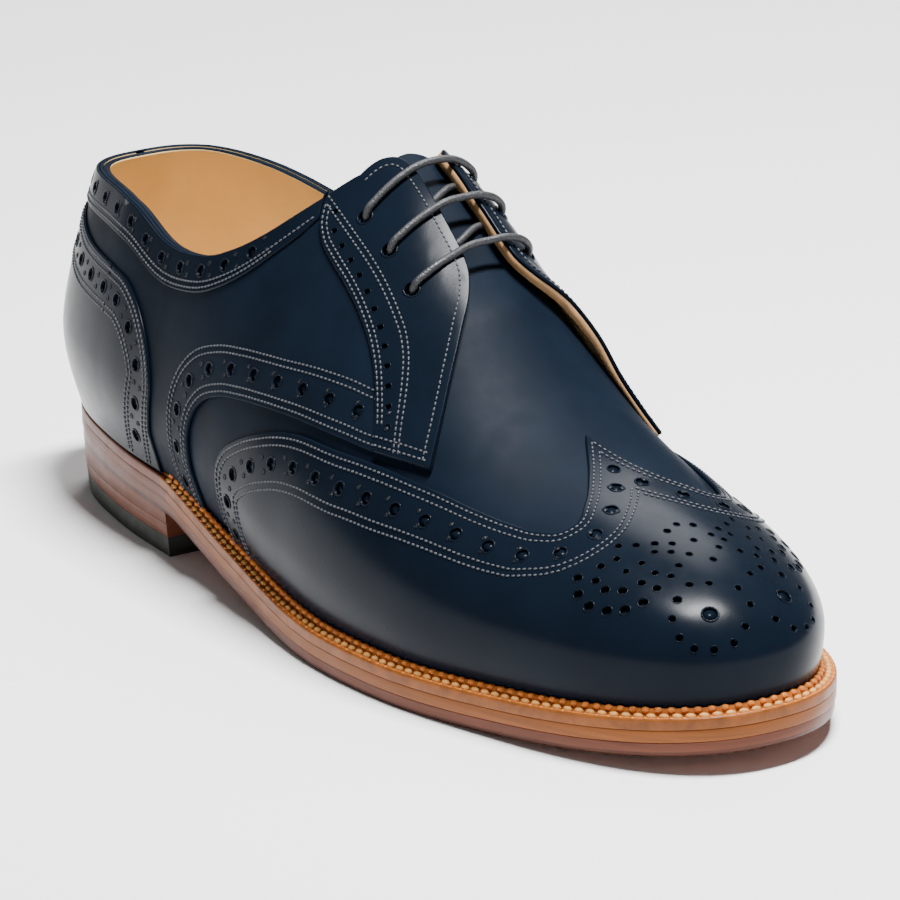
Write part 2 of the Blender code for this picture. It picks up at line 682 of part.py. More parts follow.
def make_overlays(material):
    """Wing cap, quarters, facings, counter and tongue."""
    grid = grid_points()
    wing = {side: densify(on_side(WING_LINE, side)) for side in SIDES}
    tail = WING_LINE[0][0]
    ring = welt_edge(tail, SOLE_FRONT, LATERAL)[:-1] + welt_edge(SOLE_FRONT, tail, MEDIAL)
    ring += wing[MEDIAL][1:] + wing[LATERAL][1:-1][::-1]
    make_panel("wing_cap", ring, PANEL_BASE, WING_TOP, grid, material)
    counter_ring = []
    for side, word in ((LATERAL, "lateral"), (MEDIAL, "medial")):
        quarter = densify(on_side(QUARTER_LINE, side))
        facing = densify(on_side(FACING_LINE, side))
        flap = densify(on_side(FLAP_LINE, side))
        if side == MEDIAL:
            flap = [(x, max(y - 2.6, 4.9) if y < 12 else y) for x, y in flap]
        counter = densify(on_side(COUNTER_LINE, side))
        step = side * 2 * GAP
        counter_line = [(x - 2 * GAP, y + step) for x, y in counter]
        rear = [(x, y + step) for x, y in facing]
        collar = collar_edge(facing[0][0] - 1.5, X_HEEL, side)
        ring = welt_edge(counter[0][0], quarter[0][0], side)
        ring += [point for point in quarter[1:] if point[0] < X_JOIN]
        ring += [point for point in rear[::-1] if point[0] < X_JOIN] + collar
        ring += [point for point in counter[:0:-1] if point[0] >= X_HEEL]
        make_panel("quarter_" + word, ring, PANEL_BASE, QUARTER_TOP, grid, material)
        front = collar_edge(flap[-1][0] - 1.2, facing[0][0] - 0.5, side)
        ring = facing + [point for point in quarter if point[0] > facing[-1][0] + 1] + flap[1:] + front
        make_panel("facing_" + word, ring, PANEL_BASE, FACING_TOP, grid, material)
        half = counter_line[1:] + [(COUNTER_BACK, 0.0)]
        edge = welt_edge(0.0, counter_line[0][0], side)[1:]
        counter_ring += (edge + half) if side == LATERAL else (edge + half)[:-1][::-1]
    back = flat_point(0.0, arc_full(0.0, LATERAL) - FEATHER_LIFT, LATERAL)
    make_panel("heel_counter", counter_ring + [back], COUNTER_BASE, COUNTER_TOP, grid, material)
    outer = densify([(x, -y) for x, y in TONGUE_LINE])
    inner = densify([(x, y * TONGUE_INNER_SHARE) for x, y in TONGUE_LINE])
    make_panel("tongue", outer + inner[::-1], TONGUE_TOP - TONGUE_THICK, TONGUE_TOP, grid, material)


def make_laces(material):
    """Straight lace bars lying over the facings."""
    lift = FACING_TOP + GAP + LACE_RADIUS
    for name, x, outer, inner in LACE_ROWS:
        ys = np.linspace(-outer, inner, LACE_STEPS + 1)
        path = offset_points(np.stack([np.full_like(ys, x), ys], -1), lift)
        path = [Vector(point) for point in path]
        net = Net()
        rings = []
        for k, point in enumerate(path):
            along = (path[min(k + 1, LACE_STEPS)] - path[max(k - 1, 0)]).normalized()
            side = along.cross(Vector((1, 0, 0))).normalized()
            other = along.cross(side)
            turns = [2 * math.pi * m / LACE_SIDES for m in range(LACE_SIDES)]
            ring = [point + (side * math.cos(t) + other * math.sin(t)) * LACE_RADIUS for t in turns]
            rings.append([net.add(p) for p in ring])
        for first, second in zip(rings, rings[1:]):
            for m in range(LACE_SIDES):
                n = (m + 1) % LACE_SIDES
                net.face(first[m], first[n], second[n], second[m])
        net.face(*rings[0])
        net.face(*rings[-1])
        make_object(name, net.points, net.faces, material)


def make_materials():
    made = {}
    for name, (color, roughness) in MATERIALS.items():
        material = bpy.data.materials.new(name)
        material.use_nodes = True
        shader = material.node_tree.nodes["Principled BSDF"]
        shader.inputs["Base Color"].default_value = color
        shader.inputs["Roughness"].default_value = roughness
        made[name] = material
    return made


def main():
    for obj in list(bpy.data.objects):
        bpy.data.objects.remove(obj, do_unlink=True)
    collection = bpy.data.collections.new(COLLECTION)
    bpy.context.scene.collection.children.link(collection)
    materials = make_materials()
    make_sole(materials)
    make_upper(materials["upper_leather"])
    make_overlays(materials["upper_leather"])
    make_laces(materials["lace_cotton"])


main()
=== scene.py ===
"""Full brogue derby: leather panels, brogueing, stitching, welted sole, laces and stage."""
import math

import bmesh
import bpy
import numpy as np
from mathutils import Matrix, Vector
from mathutils.geometry import delaunay_2d_cdt


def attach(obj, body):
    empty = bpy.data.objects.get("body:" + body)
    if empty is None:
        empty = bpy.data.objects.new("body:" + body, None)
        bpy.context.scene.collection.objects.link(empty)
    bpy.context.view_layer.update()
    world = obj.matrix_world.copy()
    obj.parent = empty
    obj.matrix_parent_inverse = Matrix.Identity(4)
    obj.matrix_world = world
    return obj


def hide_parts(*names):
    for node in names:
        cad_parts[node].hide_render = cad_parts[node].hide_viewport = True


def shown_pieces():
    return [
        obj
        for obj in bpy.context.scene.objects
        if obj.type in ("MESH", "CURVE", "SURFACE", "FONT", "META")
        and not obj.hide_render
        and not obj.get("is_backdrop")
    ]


bl_info = {
    "name": "Full brogue derby",
    "version": (1, 0, 0),
    "blender": (4, 5, 0),
    "location": "View3D > Sidebar > Derby",
    "description": "Builds the leather, stitching and sole of a full brogue derby over its solids",
    "category": "Add Mesh",
}

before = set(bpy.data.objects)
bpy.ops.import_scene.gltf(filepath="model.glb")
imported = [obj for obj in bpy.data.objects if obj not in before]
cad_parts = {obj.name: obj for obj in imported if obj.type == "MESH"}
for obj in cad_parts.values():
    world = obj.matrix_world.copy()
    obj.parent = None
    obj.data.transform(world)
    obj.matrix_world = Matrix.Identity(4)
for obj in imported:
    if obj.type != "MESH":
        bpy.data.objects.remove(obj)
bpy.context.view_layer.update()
BODY = "root"
MM = 0.001
ORIGIN = np.array([152.342, 2.336, 0.0])
LATERAL, MEDIAL = SIDES = (-1, 1)

# Tables of sizes are in millimetres. Sole outline: x, centre line y, half width.
SOLE_BACK, SOLE_FRONT = 4.4, 305.0
SOLE_ROWS = (
    (4.4, 4.0, 34.0), (20, 3.4, 33.7), (40, 2.5, 33.4), (60, 1.2, 33.5), (85, -0.2, 33.7),
    (128, -2.5, 38.1), (171, -1.1, 46.6), (207, 1.6, 50.0), (250, 6.8, 52.3), (305, 7.0, 53.5),
)
HEEL_ROUND, HEEL_POWER, TOE_ROUND, TOE_POWER = 98.7, 3.0, 121.0, 2.21
# Welt: x, width.
WELT_ROWS = ((0, 2.2), (50, 2.2), (85, 3.0), (120, 4.5), (170, 6.0), (220, 6.0), (305, 6.0))
X_BREAST, X_TREAD, X_SPRING = 82.0, 181.0, 205.0
HEEL_HEIGHT, TOE_SPRING, ARCH_POWER, HEEL_SLOPE = 12.8, 6.0, 1.6, 0.035
FEATHER = 10.3
# Last sections: x, ridge height, bulge, widest height, wall handle, top handles, ridge y.
LAST_ROWS = (
    (4.4, 150.0, 5.0, 22, 0.20, 0.46, 0.46, 4.0),
    (30, 150.0, 5.0, 22, 0.15, 0.22, 0.22, 4.0),
    (52, 150.0, 5.0, 22, 0.18, 0.20, 0.20, 4.0),
    (85, 144.0, 5.0, 22, 0.28, 0.28, 0.32, 5.0),
    (110, 134.0, 6.0, 22, 0.37, 0.30, 0.42, 7.0),
    (140, 120.5, 5.5, 21, 0.43, 0.34, 0.58, 10.0),
    (160, 109.5, 4.0, 19, 0.45, 0.42, 0.64, 10.5),
    (185, 89.5, 3.0, 17, 0.46, 0.52, 0.62, 9.5),
    (205, 73.0, 2.5, 15, 0.50, 0.58, 0.60, 8.5),
    (225, 61.0, 2.5, 14, 0.52, 0.60, 0.60, 7.5),
    (243, 54.5, 2.5, 13, 0.52, 0.60, 0.60, 7.0),
    (275, 50.0, 2.0, 12, 0.48, 0.55, 0.55, 7.0),
    (300, 47.0, 1.5, 11, 0.46, 0.52, 0.52, 7.0),
)
RIDGE, BULGE, WIDEST, WALL_HANDLE, TOP_OUTER, TOP_INNER, RIDGE_Y = range(1, 8)
X_HEEL, X_TOE = 52.0, 243.0
TAU_WIDEST, FOOT_OUT, FOOT_UP, FOOT_MID = 0.25, 0.35, 0.28, 0.60
# Top line: x of the feather below it, height on the outer side, height on the inner side.
COLLAR_ROWS = (
    (6.6, 91.0, 91.0), (16, 91.3, 91.8), (30, 91.5, 92.0), (45, 91.5, 91.5), (58, 90.5, 90.6),
    (77, 86.3, 88.8), (90, 86.3, 89.6), (105, 89.5, 93.0), (119, 97.4, 100.5),
    (132, 108.8, 110.5), (138, 115.0, 117.0),
)
# Dip of the top line towards the facings: depth, x where it starts, run.
CORNER_DIP, DIP_START, DIP_RUN = 1.7, 108.0, 24.0
# Panel lines on the flat pattern: x, distance from the ridge.
WING_LINE = (
    (122.5, 114.0), (123.5, 105.7), (127.0, 100.0), (133.0, 94.5), (146.3, 85.0), (160.0, 76.2),
    (173.3, 67.9), (187.0, 58.5), (200.4, 49.5), (213.0, 42.3), (224.7, 36.6), (234.0, 32.2),
    (241.6, 28.4), (246.4, 24.6), (247.0, 21.0), (242.5, 14.5), (234.0, 7.6), (221.0, 0.0),
)
QUARTER_LINE = (
    (104.6, 119.0), (105.0, 113.3), (105.5, 107.3), (107.8, 101.0), (112.5, 95.0), (121.5, 89.0),
    (132.0, 84.4), (142.7, 80.2), (153.3, 75.8), (162.6, 71.1), (171.8, 65.6), (179.7, 60.4),
    (187.6, 55.4), (194.2, 50.6), (200.0, 46.2), (207.0, 41.3),
)
FLAP_LINE = (
    (207.0, 41.3), (201.5, 33.6), (194.5, 25.0), (187.5, 17.0), (181.0, 10.4), (176.0, 7.6),
    (172.0, 6.9), (165.0, 6.5), (158.0, 6.0), (151.0, 5.4), (146.0, 5.2), (142.4, 6.4),
    (140.0, 9.4), (138.9, 13.4), (138.6, 16.4),
)
FACING_EDGE = (
    (133.6, 25.2), (134.6, 29.4), (137.0, 33.4), (141.4, 36.2), (147.4, 37.5), (156.8, 38.5), (164.5, 39.4),
    (171.8, 40.8), (177.0, 42.8), (181.5, 45.6), (186.0, 49.2), (189.6, 53.2),
)
FACING_FRONT_ROW = (
    (134.6, 27.0), (143.0, 28.0), (151.0, 28.7), (158.5, 29.0), (166.1, 29.3), (172.5, 29.9),
    (178.6, 31.0), (182.8, 33.0), (186.4, 36.0), (190.0, 39.8), (193.1, 43.6), (196.6, 47.6),
)
COUNTER_LINE = (
    (79.4, 120.0), (81.6, 113.0), (82.6, 106.4), (80.6, 99.8), (76.4, 94.0), (70.0, 88.6),
    (61.0, 84.6), (52.0, 83.7), (37.6, 81.8), (18.3, 75.7), (0.8, 65.6), (-12.0, 53.7),
    (-22.8, 38.1), (-30.0, 18.9), (-32.3, 0.0),
)
# Share of the outer side's distances that the inner side takes: x, share.
INNER_SHARE_ROWS = ((80, 1.0), (140, 1.0), (175, 0.95), (207, 0.92), (250, 1.0))
# Eyelets: x, distance from the ridge on the outer side, on the inner side.
EYELETS = ((148.5, 23.0, 13.0), (160.5, 23.2, 12.8), (172.0, 23.3, 13.2))
# Toe medallion on the flat pattern: x, distance from the ridge, hole radius.
MEDALLION = (
    (294.0, 11.6, 2.4), (286.1, 16.3, 1.3), (289.8, 20.2, 1.1), (294.9, 21.2, 1.1),
    (299.3, 19.3, 1.1), (302.2, 15.0, 1.1), (303.0, 9.6, 1.1), (300.4, 4.8, 1.1),
    (285.6, 6.4, 1.0), (283.7, 11.1, 1.1), (262.1, 31.0, 1.4), (265.9, 33.8, 1.5),
    (270.9, 33.9, 1.6), (275.9, 31.4, 1.6), (279.4, 27.9, 1.6), (281.2, 23.4, 1.5),
    (266.7, 28.4, 1.2), (270.9, 28.3, 1.4), (274.6, 25.3, 1.4), (264.1, 24.8, 1.1),
    (265.1, 20.5, 1.0), (261.6, 17.6, 1.0), (264.3, 14.0, 1.0), (266.5, 9.8, 1.0),
    (269.2, 11.7, 0.9), (271.4, 8.2, 0.9), (274.2, 4.6, 0.9), (268.7, 6.0, 0.9),
    (275.5, 15.9, 1.0), (278.8, 13.3, 1.0), (276.1, 20.4, 1.2), (280.0, 18.4, 1.2),
    (276.7, 9.5, 1.0), (270.6, 16.6, 0.9), (270.2, 21.2, 0.9), (263.6, 4.0, 1.0),
)
MEDALLION_SCALE = 0.8
# Holes of the medallion on the ridge: x, hole radius.
MEDALLION_RIDGE = ((262.0, 0.9), (269.6, 0.9), (278.2, 1.0), (289.6, 1.1), (295.2, 1.1))
TINY = 1e-3
SAME_POINT = 0.02
TABLE_STATIONS, TABLE_TAUS, TABLE_SHARES = 401, 161, 97
NORMAL_STEP, LINE_STEP, EDGE_STEP, PATTERN_STEP = 0.4, 1.2, 1.5, 2.2
FAN_STEPS = 60
# Points of the pattern: start and middle of the heel's fan, density of the toe's fan, start of the ridge.
HEEL_FAN_START, HEEL_FAN_MIDDLE, TOE_FAN_SHARE, X_RIDGE = 56, 50, 0.85, 130


# Arrays of points

def hermite(t, h, start, end, slope_start, slope_end):
    """Cubic between two values with given slopes over a step h."""
    first = (2 * t ** 3 - 3 * t * t + 1) * start + (t ** 3 - 2 * t * t + t) * h * slope_start
    return first + (3 * t * t - 2 * t ** 3) * end + (t ** 3 - t * t) * h * slope_end


def unit(vectors):
    return vectors / np.linalg.norm(vectors, axis=-1, keepdims=True)


def run_along(points):
    """Length along a line up to each of its points."""
    return np.concatenate([[0], np.cumsum(np.linalg.norm(np.diff(points, axis=0), axis=1))])


def columns(flat):
    return flat[:, 0].copy(), flat[:, 1].copy()


def gaps(x, y, line):
    """Distance from every point to every point of a line."""
    return np.hypot(x[:, None] - line[None, :, 0], y[:, None] - line[None, :, 1])


def double_area(ring):
    """Twice the area of a ring, negative where it runs clockwise."""
    return np.sum(ring[:, 0] * np.roll(ring[:, 1], -1) - np.roll(ring[:, 0], -1) * ring[:, 1])


# Surface of the last

def curve(rows, column, x):
    """Smooth curve through one column of a table."""
    xs = np.array([row[0] for row in rows], float)
    ys = np.array([row[column] for row in rows], float)
    slopes = np.gradient(ys, xs)
    slopes[1:-1] = (ys[2:] - ys[:-2]) / (xs[2:] - xs[:-2])
    x = np.clip(np.asarray(x, float), xs[0], xs[-1])
    i = np.clip(np.searchsorted(xs, x) - 1, 0, len(xs) - 2)
    h = xs[i + 1] - xs[i]
    return hermite((x - xs[i]) / h, h, ys[i], ys[i + 1], slopes[i], slopes[i + 1])


def last(column, x):
    return curve(LAST_ROWS, column, x)


def outline(q, side):
    """Edge of the sole; q runs from 0 at the heel to 1 at the toe."""
    x = SOLE_BACK + (SOLE_FRONT - SOLE_BACK) * (1 - np.cos(np.pi * np.asarray(q, float))) / 2
    u = np.clip((SOLE_BACK + HEEL_ROUND - x) / HEEL_ROUND, 0, 1)
    v = np.clip((x - SOLE_FRONT + TOE_ROUND) / TOE_ROUND, 0, 1)
    cap = np.maximum(0, 1 - u ** HEEL_POWER) ** (1 / HEEL_POWER)
    cap = cap * np.maximum(0, 1 - v ** TOE_POWER) ** (1 / TOE_POWER)
    return np.stack([x, curve(SOLE_ROWS, 1, x) + side * curve(SOLE_ROWS, 2, x) * cap], -1)


def inset_by(q, side, width):
    """Edge of the sole moved inwards."""
    q = np.asarray(q, float)
    p = outline(q, side)
    along = outline(np.clip(q + TINY, 0, 1), side) - outline(np.clip(q - TINY, 0, 1), side)
    out = unit(np.stack([-along[..., 1], along[..., 0]], -1) * side)
    out = np.where((q < 2 * TINY)[..., None], np.array([-1.0, 0.0]), out)
    out = np.where((q > 1 - 2 * TINY)[..., None], np.array([1.0, 0.0]), out)
    return p - out * np.broadcast_to(np.asarray(width, float), q.shape)[..., None]


def feather_line(q, side, extra=0.0):
    """Line where the upper meets the welt."""
    return inset_by(q, side, curve(WELT_ROWS, 1, outline(q, side)[..., 0]) + extra)


def underside(x):
    """Height of the outsole's lower face."""
    x = np.asarray(x, float)
    t = np.clip((X_TREAD - x) / (X_TREAD - X_BREAST), 0, None)
    z = np.where(t < 1, HEEL_HEIGHT * t ** ARCH_POWER, HEEL_HEIGHT + (X_BREAST - x) * HEEL_SLOPE)
    return z + TOE_SPRING * np.clip((x - X_SPRING) / (SOLE_FRONT - X_SPRING), 0, None) ** 2


def bezier(p0, p1, p2, p3, t):
    s = 1 - t
    return p0 * s ** 3 + 3 * p1 * s * s * t + 3 * p2 * s * t * t + p3 * t ** 3


RIDGE_SLOPE = -float(last(RIDGE, X_TOE + 1) - last(RIDGE, X_TOE - 1)) / 2


def station(q, side):
    """Sizes of the section of the last that starts at q on the feather line."""
    edge = feather_line(q, side)
    x = edge[..., 0]
    centre_x = np.clip(x, X_HEEL, X_TOE)
    centre = np.stack([centre_x, last(RIDGE_Y, centre_x)], -1)
    along = edge - centre
    reach = np.linalg.norm(along, axis=-1)
    along /= reach[..., None]
    base = underside(x) + FEATHER
    return {
        "x": x, "centre": centre, "along": along, "reach": reach, "base": base,
        "bulge": last(BULGE, x), "widest": last(WIDEST, x), "height": last(RIDGE, centre_x) - base,
        "wall": last(WALL_HANDLE, x), "top": last(TOP_OUTER if side == LATERAL else TOP_INNER, x),
        "drop": np.where(x > X_TOE, RIDGE_SLOPE * np.clip(along[..., 0], 0, None), 0.0),
    }


def section(sizes, tau):
    """Distance from the ridge and height; tau runs from 0 at the welt to 1 at the ridge."""
    a, b, low, high = sizes["reach"], sizes["bulge"], sizes["widest"], sizes["height"]
    wide = a + b
    tip = sizes["top"] * wide
    t = np.clip(tau / TAU_WIDEST, 0, 1)
    u = np.clip((tau - TAU_WIDEST) / (1 - TAU_WIDEST), 0, 1)
    head = bezier(low, low + sizes["wall"] * (high - low), high - sizes["drop"] * tip, high, u)
    foot = bezier(0 * a, FOOT_UP * low, FOOT_MID * low, low, t)
    lower = tau < TAU_WIDEST
    out = np.where(lower, bezier(a, a + FOOT_OUT * b, wide, wide, t), bezier(wide, wide, tip, 0 * wide, u))
    return out, np.where(lower, foot, head)


def last_point(sizes, tau):
    out, up = section(sizes, tau)
    plan = sizes["centre"] + sizes["along"] * out[..., None]
    return np.concatenate([plan, (sizes["base"] + up)[..., None]], -1)


def arc_table(side):
    """Arc length from the ridge and its inverse for many stations of one side."""
    q = np.linspace(0, 1, TABLE_STATIONS)
    sizes = station(q, side)
    wide = {key: value[:, None] for key, value in sizes.items()}
    tau = np.linspace(1, 0, TABLE_TAUS)
    out, up = section(wide, tau[None, :] + 0 * wide["reach"])
    steps = np.hypot(np.diff(out, axis=1), np.diff(up, axis=1))
    arc = np.concatenate([np.zeros((len(q), 1)), np.cumsum(steps, 1)], 1)
    share = np.linspace(0, 1, TABLE_SHARES)
    inverse = np.array([np.interp(share * row[-1], row, tau) for row in arc])
    angle = np.arctan2(np.abs(sizes["along"][:, 1]), sizes["along"][:, 0])
    return {"q": q, "x": sizes["x"], "arc": arc, "inverse": inverse,
            "up": sizes["base"][:, None] + up, "angle": angle}


TABLES = {side: arc_table(side) for side in SIDES}


def locate(x, y):
    """Station, side and arc length from the ridge of a point of the flat pattern."""
    side = np.where(y < 0, LATERAL, MEDIAL)
    q = np.zeros_like(x)
    arc = np.abs(y)
    for hand in SIDES:
        table = TABLES[hand]
        here = side == hand
        flat = here & (x >= X_HEEL) & (x <= X_TOE)
        q[flat] = np.interp(x[flat], table["x"], table["q"])
        for fan, pivot, part in (
            (here & (x > X_TOE), X_TOE, table["x"] >= X_TOE),
            (here & (x < X_HEEL), X_HEEL, table["x"] <= X_HEEL),
        ):
            turn = np.arctan2(hand * y[fan], x[fan] - pivot)
            q[fan] = np.interp(-turn, -table["angle"][part], table["q"][part])
            arc[fan] = np.hypot(x[fan] - pivot, y[fan])
    return q, side, arc


def on_last(x, y):
    """Points of the last's surface for points of the flat pattern."""
    q, side, arc = locate(x, y)
    points = np.zeros(x.shape + (3,))
    for hand in SIDES:
        here = side == hand
        if not here.any():
            continue
        table = TABLES[hand]
        full = np.interp(q[here], table["q"], table["arc"][:, -1])
        j = np.clip(arc[here] / full, 0, 1) * (TABLE_SHARES - 1)
        i = q[here] * (TABLE_STATIONS - 1)
        i0 = np.clip(i.astype(int), 0, TABLE_STATIONS - 2)
        j0 = np.clip(j.astype(int), 0, TABLE_SHARES - 2)
        a, b = i - i0, j - j0
        inv = table["inverse"]
        near = inv[i0, j0] * (1 - b) + inv[i0, j0 + 1] * b
        far = inv[i0 + 1, j0] * (1 - b) + inv[i0 + 1, j0 + 1] * b
        points[here] = last_point(station(q[here], hand), near * (1 - a) + far * a)
    return points


def last_normal(x, y):
    du = on_last(x + NORMAL_STEP, y) - on_last(x - NORMAL_STEP, y)
    dv = on_last(x, y + NORMAL_STEP) - on_last(x, y - NORMAL_STEP)
    return unit(np.cross(du, dv))


def skin(flat, height):
    """Points at a height above the last; height is a function of the flat pattern."""
    x, y = columns(flat)
    return on_last(x, y) + last_normal(x, y) * height(x, y)[:, None]


def skin_normal(flat, height):
    """Outward normals of a skin."""
    step = np.array([NORMAL_STEP, 0.0])
    du = skin(flat + step, height) - skin(flat - step, height)
    dv = skin(flat + step[::-1], height) - skin(flat - step[::-1], height)
    return unit(np.cross(du, dv))


def flat_point(q, arc, side):
    """Point of the flat pattern at an arc length from the ridge on a station."""
    sizes = station(np.array([q]), side)
    x = float(sizes["x"][0])
    if X_HEEL <= x <= X_TOE:
        return (x, side * arc)
    pivot = X_TOE if x > X_TOE else X_HEEL
    along = sizes["along"][0]
    return (pivot + along[0] * arc, along[1] * arc)


def arc_full(q, side):
    return float(np.interp(q, TABLES[side]["q"], TABLES[side]["arc"][:, -1]))


def q_at(x, side):
    return float(np.interp(x, TABLES[side]["x"], TABLES[side]["q"]))


def arc_at_height(q, side, z):
    """Arc length from the ridge to a height on a station."""
    table = TABLES[side]
    i = q * (TABLE_STATIONS - 1)
    i0 = min(int(i), TABLE_STATIONS - 2)
    share = i - i0
    up = table["up"][i0] * (1 - share) + table["up"][i0 + 1] * share
    arc = table["arc"][i0] * (1 - share) + table["arc"][i0 + 1] * share
    return float(np.interp(-z, -up, arc))


# Lines on the flat pattern

def smooth_line(points, step=LINE_STEP):
    """Line through points, rounded a little and split into short steps."""
    p = np.array(points, float)
    d = run_along(p)
    slopes = np.gradient(p, d, axis=0)
    n = max(2, int(round(d[-1] / step)))
    t = np.linspace(0, d[-1], n + 1)
    i = np.clip(np.searchsorted(d, t) - 1, 0, len(d) - 2)
    h = d[i + 1] - d[i]
    u = (t - d[i]) / h
    return hermite(u[:, None], h[:, None], p[i], p[i + 1], slopes[i], slopes[i + 1])


def polyline(points, step=LINE_STEP):
    """Straight line through points, split into short steps."""
    out = [np.array(points[0], float)]
    for a, b in zip(points, points[1:]):
        a, b = np.array(a, float), np.array(b, float)
        n = max(1, int(round(np.linalg.norm(b - a) / step)))
        out += [a + (b - a) * k / n for k in range(1, n + 1)]
    return np.array(out)


def on_side(line, side):
    """A line of the outer side, or the same line fitted to the inner side."""
    line = np.array(line, float)
    if side == LATERAL:
        return line * [1, -1]
    return np.stack([line[:, 0], line[:, 1] * curve(INNER_SHARE_ROWS, 1, line[:, 0])], -1)


def drop_repeats(line):
    line = np.asarray(line, float)
    keep = np.concatenate([[True], np.linalg.norm(np.diff(line, axis=0), axis=1) > SAME_POINT])
    return line[keep]


def beside(line, distance):
    """Parallel line to the left of a line, with the overlap at inside corners cut away."""
    line = drop_repeats(line)
    t = unit(np.gradient(line, axis=0))
    moved = line + np.stack([-t[:, 1], t[:, 0]], -1) * distance
    gap = np.linalg.norm(moved[:, None] - line[None], axis=2).min(axis=1)
    return moved[gap > abs(distance) * 0.985 - 0.01]


def stations(x_from, x_to, side):
    """Stations between two places along the foot, closer together round heel and toe."""
    n = max(2, int(abs(x_to - x_from) / EDGE_STEP))
    if min(x_from, x_to) < X_HEEL or max(x_from, x_to) > X_TOE:
        n = max(n, FAN_STEPS)
    return np.linspace(q_at(x_from, side), q_at(x_to, side), n + 1)


def welt_edge(x_from, x_to, side, lift=0.6):
    """Flat-pattern line just above the welt between two places along the foot."""
    return np.array([flat_point(q, arc_full(q, side) - lift, side) for q in stations(x_from, x_to, side)])


def side_column(side):
    """Column of a table that holds the outer side's value, then the inner side's."""
    return 1 if side == LATERAL else 2


def collar_edge(x_from, x_to, side, drop=0.0):
    """Flat-pattern line along the top line."""
    line = []
    for q in stations(x_from, x_to, side):
        x = float(feather_line(np.array([q]), side)[0, 0])
        arc = arc_at_height(q, side, float(curve(COLLAR_ROWS, side_column(side), x)))
        dip = CORNER_DIP * min(max((x - DIP_START) / DIP_RUN, 0.0), 1.0)
        line.append(flat_point(q, arc + drop + dip, side))
    return np.array(line)


def pattern_points(step):
    """Points spread over the whole flat pattern, about evenly on the finished upper."""
    points = []
    for side in SIDES:
        for x in np.arange(X_HEEL, X_TOE, step):
            full = arc_full(q_at(x, side), side)
            points += [(x, side * a) for a in np.arange(step / 2, full, step)]
        full = arc_full(1.0, side)
        for a in np.arange(step, full + 1, step):
            n = max(1, int(a * math.pi / 2 * TOE_FAN_SHARE / step))
            for k in range(0 if side == MEDIAL else 1, n + 1):
                turn = math.pi / 2 * k / n
                points.append((X_TOE + a * math.cos(turn), side * a * math.sin(turn)))
        for a in np.arange(HEEL_FAN_START, arc_full(0.0, side) + 4, step):
            n = int(HEEL_FAN_MIDDLE * math.pi / 2 / step)
            for k in range(1, n + (side == MEDIAL)):
                turn = math.pi / 2 * k / n
                points.append((X_HEEL - a * math.sin(turn), side * a * math.cos(turn)))
    points += [(x, 0.0) for x in np.arange(X_RIDGE, X_TOE + 0.1, step)]
    return np.array(points)


def inside(points, ring, margin):
    """Which points lie inside a ring and clear of its edge."""
    p = np.asarray(points, float)
    result = np.zeros(len(p), bool)
    clear = np.full(len(p), np.inf)
    for (ax, ay), (bx, by) in zip(ring, np.roll(ring, -1, axis=0)):
        rise = by - ay if by != ay else TINY
        result ^= ((ay > p[:, 1]) != (by > p[:, 1])) & (p[:, 0] < (bx - ax) * (p[:, 1] - ay) / rise + ax)
        length = max((bx - ax) ** 2 + (by - ay) ** 2, TINY)
        t = np.clip(((p[:, 0] - ax) * (bx - ax) + (p[:, 1] - ay) * (by - ay)) / length, 0, 1)
        clear = np.minimum(clear, np.hypot(p[:, 0] - ax - t * (bx - ax), p[:, 1] - ay - t * (by - ay)))
    return result & (clear > margin)


PATTERN = pattern_points(PATTERN_STEP)


# Mesh helpers

def link(name, points, faces, materials, slots=None, normals=None, smooth=True):
    """Mesh object in metres, at rest on the body."""
    mesh = bpy.data.meshes.new(name)
    mesh.from_pydata([tuple(p) for p in (np.asarray(points) - ORIGIN) * MM], [], faces)
    for material in materials:
        mesh.materials.append(material)
    if slots is not None:
        mesh.polygons.foreach_set("material_index", slots)
    mesh.polygons.foreach_set("use_smooth", [smooth] * len(mesh.polygons))
    mesh.validate()
    if normals is not None:
        mesh.normals_split_custom_set_from_vertices([tuple(n) for n in normals])
    obj = bpy.data.objects.new(name, mesh)
    bpy.context.scene.collection.objects.link(obj)
    return obj


def closed_ring(ring):
    """Ring without repeated points."""
    ring = drop_repeats(ring)
    return ring[:-1] if np.linalg.norm(ring[0] - ring[-1]) < SAME_POINT else ring


def ring_out(ring):
    """Outward directions at the points of a closed ring."""
    t = np.roll(ring, -1, axis=0) - np.roll(ring, 1, axis=0)
    t /= np.maximum(np.linalg.norm(t, axis=1, keepdims=True), TINY)
    return np.stack([t[:, 1], -t[:, 0]], -1) * np.sign(double_area(ring))


def surface_measure(x, y):
    """Square root of the inverse metric of the flat pattern at one point, and the metric."""
    at = np.array([x, x + NORMAL_STEP, x - NORMAL_STEP, x, x], float)
    up = np.array([y, y, y, y + NORMAL_STEP, y - NORMAL_STEP], float)
    p = on_last(at, up)
    slope = np.stack([p[1] - p[2], p[3] - p[4]], -1) / (2 * NORMAL_STEP)
    metric = slope.T @ slope
    values, vectors = np.linalg.eigh(metric)
    return vectors @ np.diag(1 / np.sqrt(values)) @ vectors.T, metric


# Punched holes: radius from which one is large, corners, lip's width and share, room round a hole.
BIG_HOLE, BIG_HOLE_SIDES, SMALL_HOLE_SIDES = 1.4, 20, 12
LIP_WIDTH, LIP_SHARE, HOLE_CLEAR = 0.42, 0.3, 1.0


def hole_ring(x, y, radius, sides, root):
    turn = np.linspace(0, 2 * np.pi, sides, endpoint=False)
    return np.array([x, y]) + (radius * np.stack([np.cos(turn), np.sin(turn)], -1)) @ root


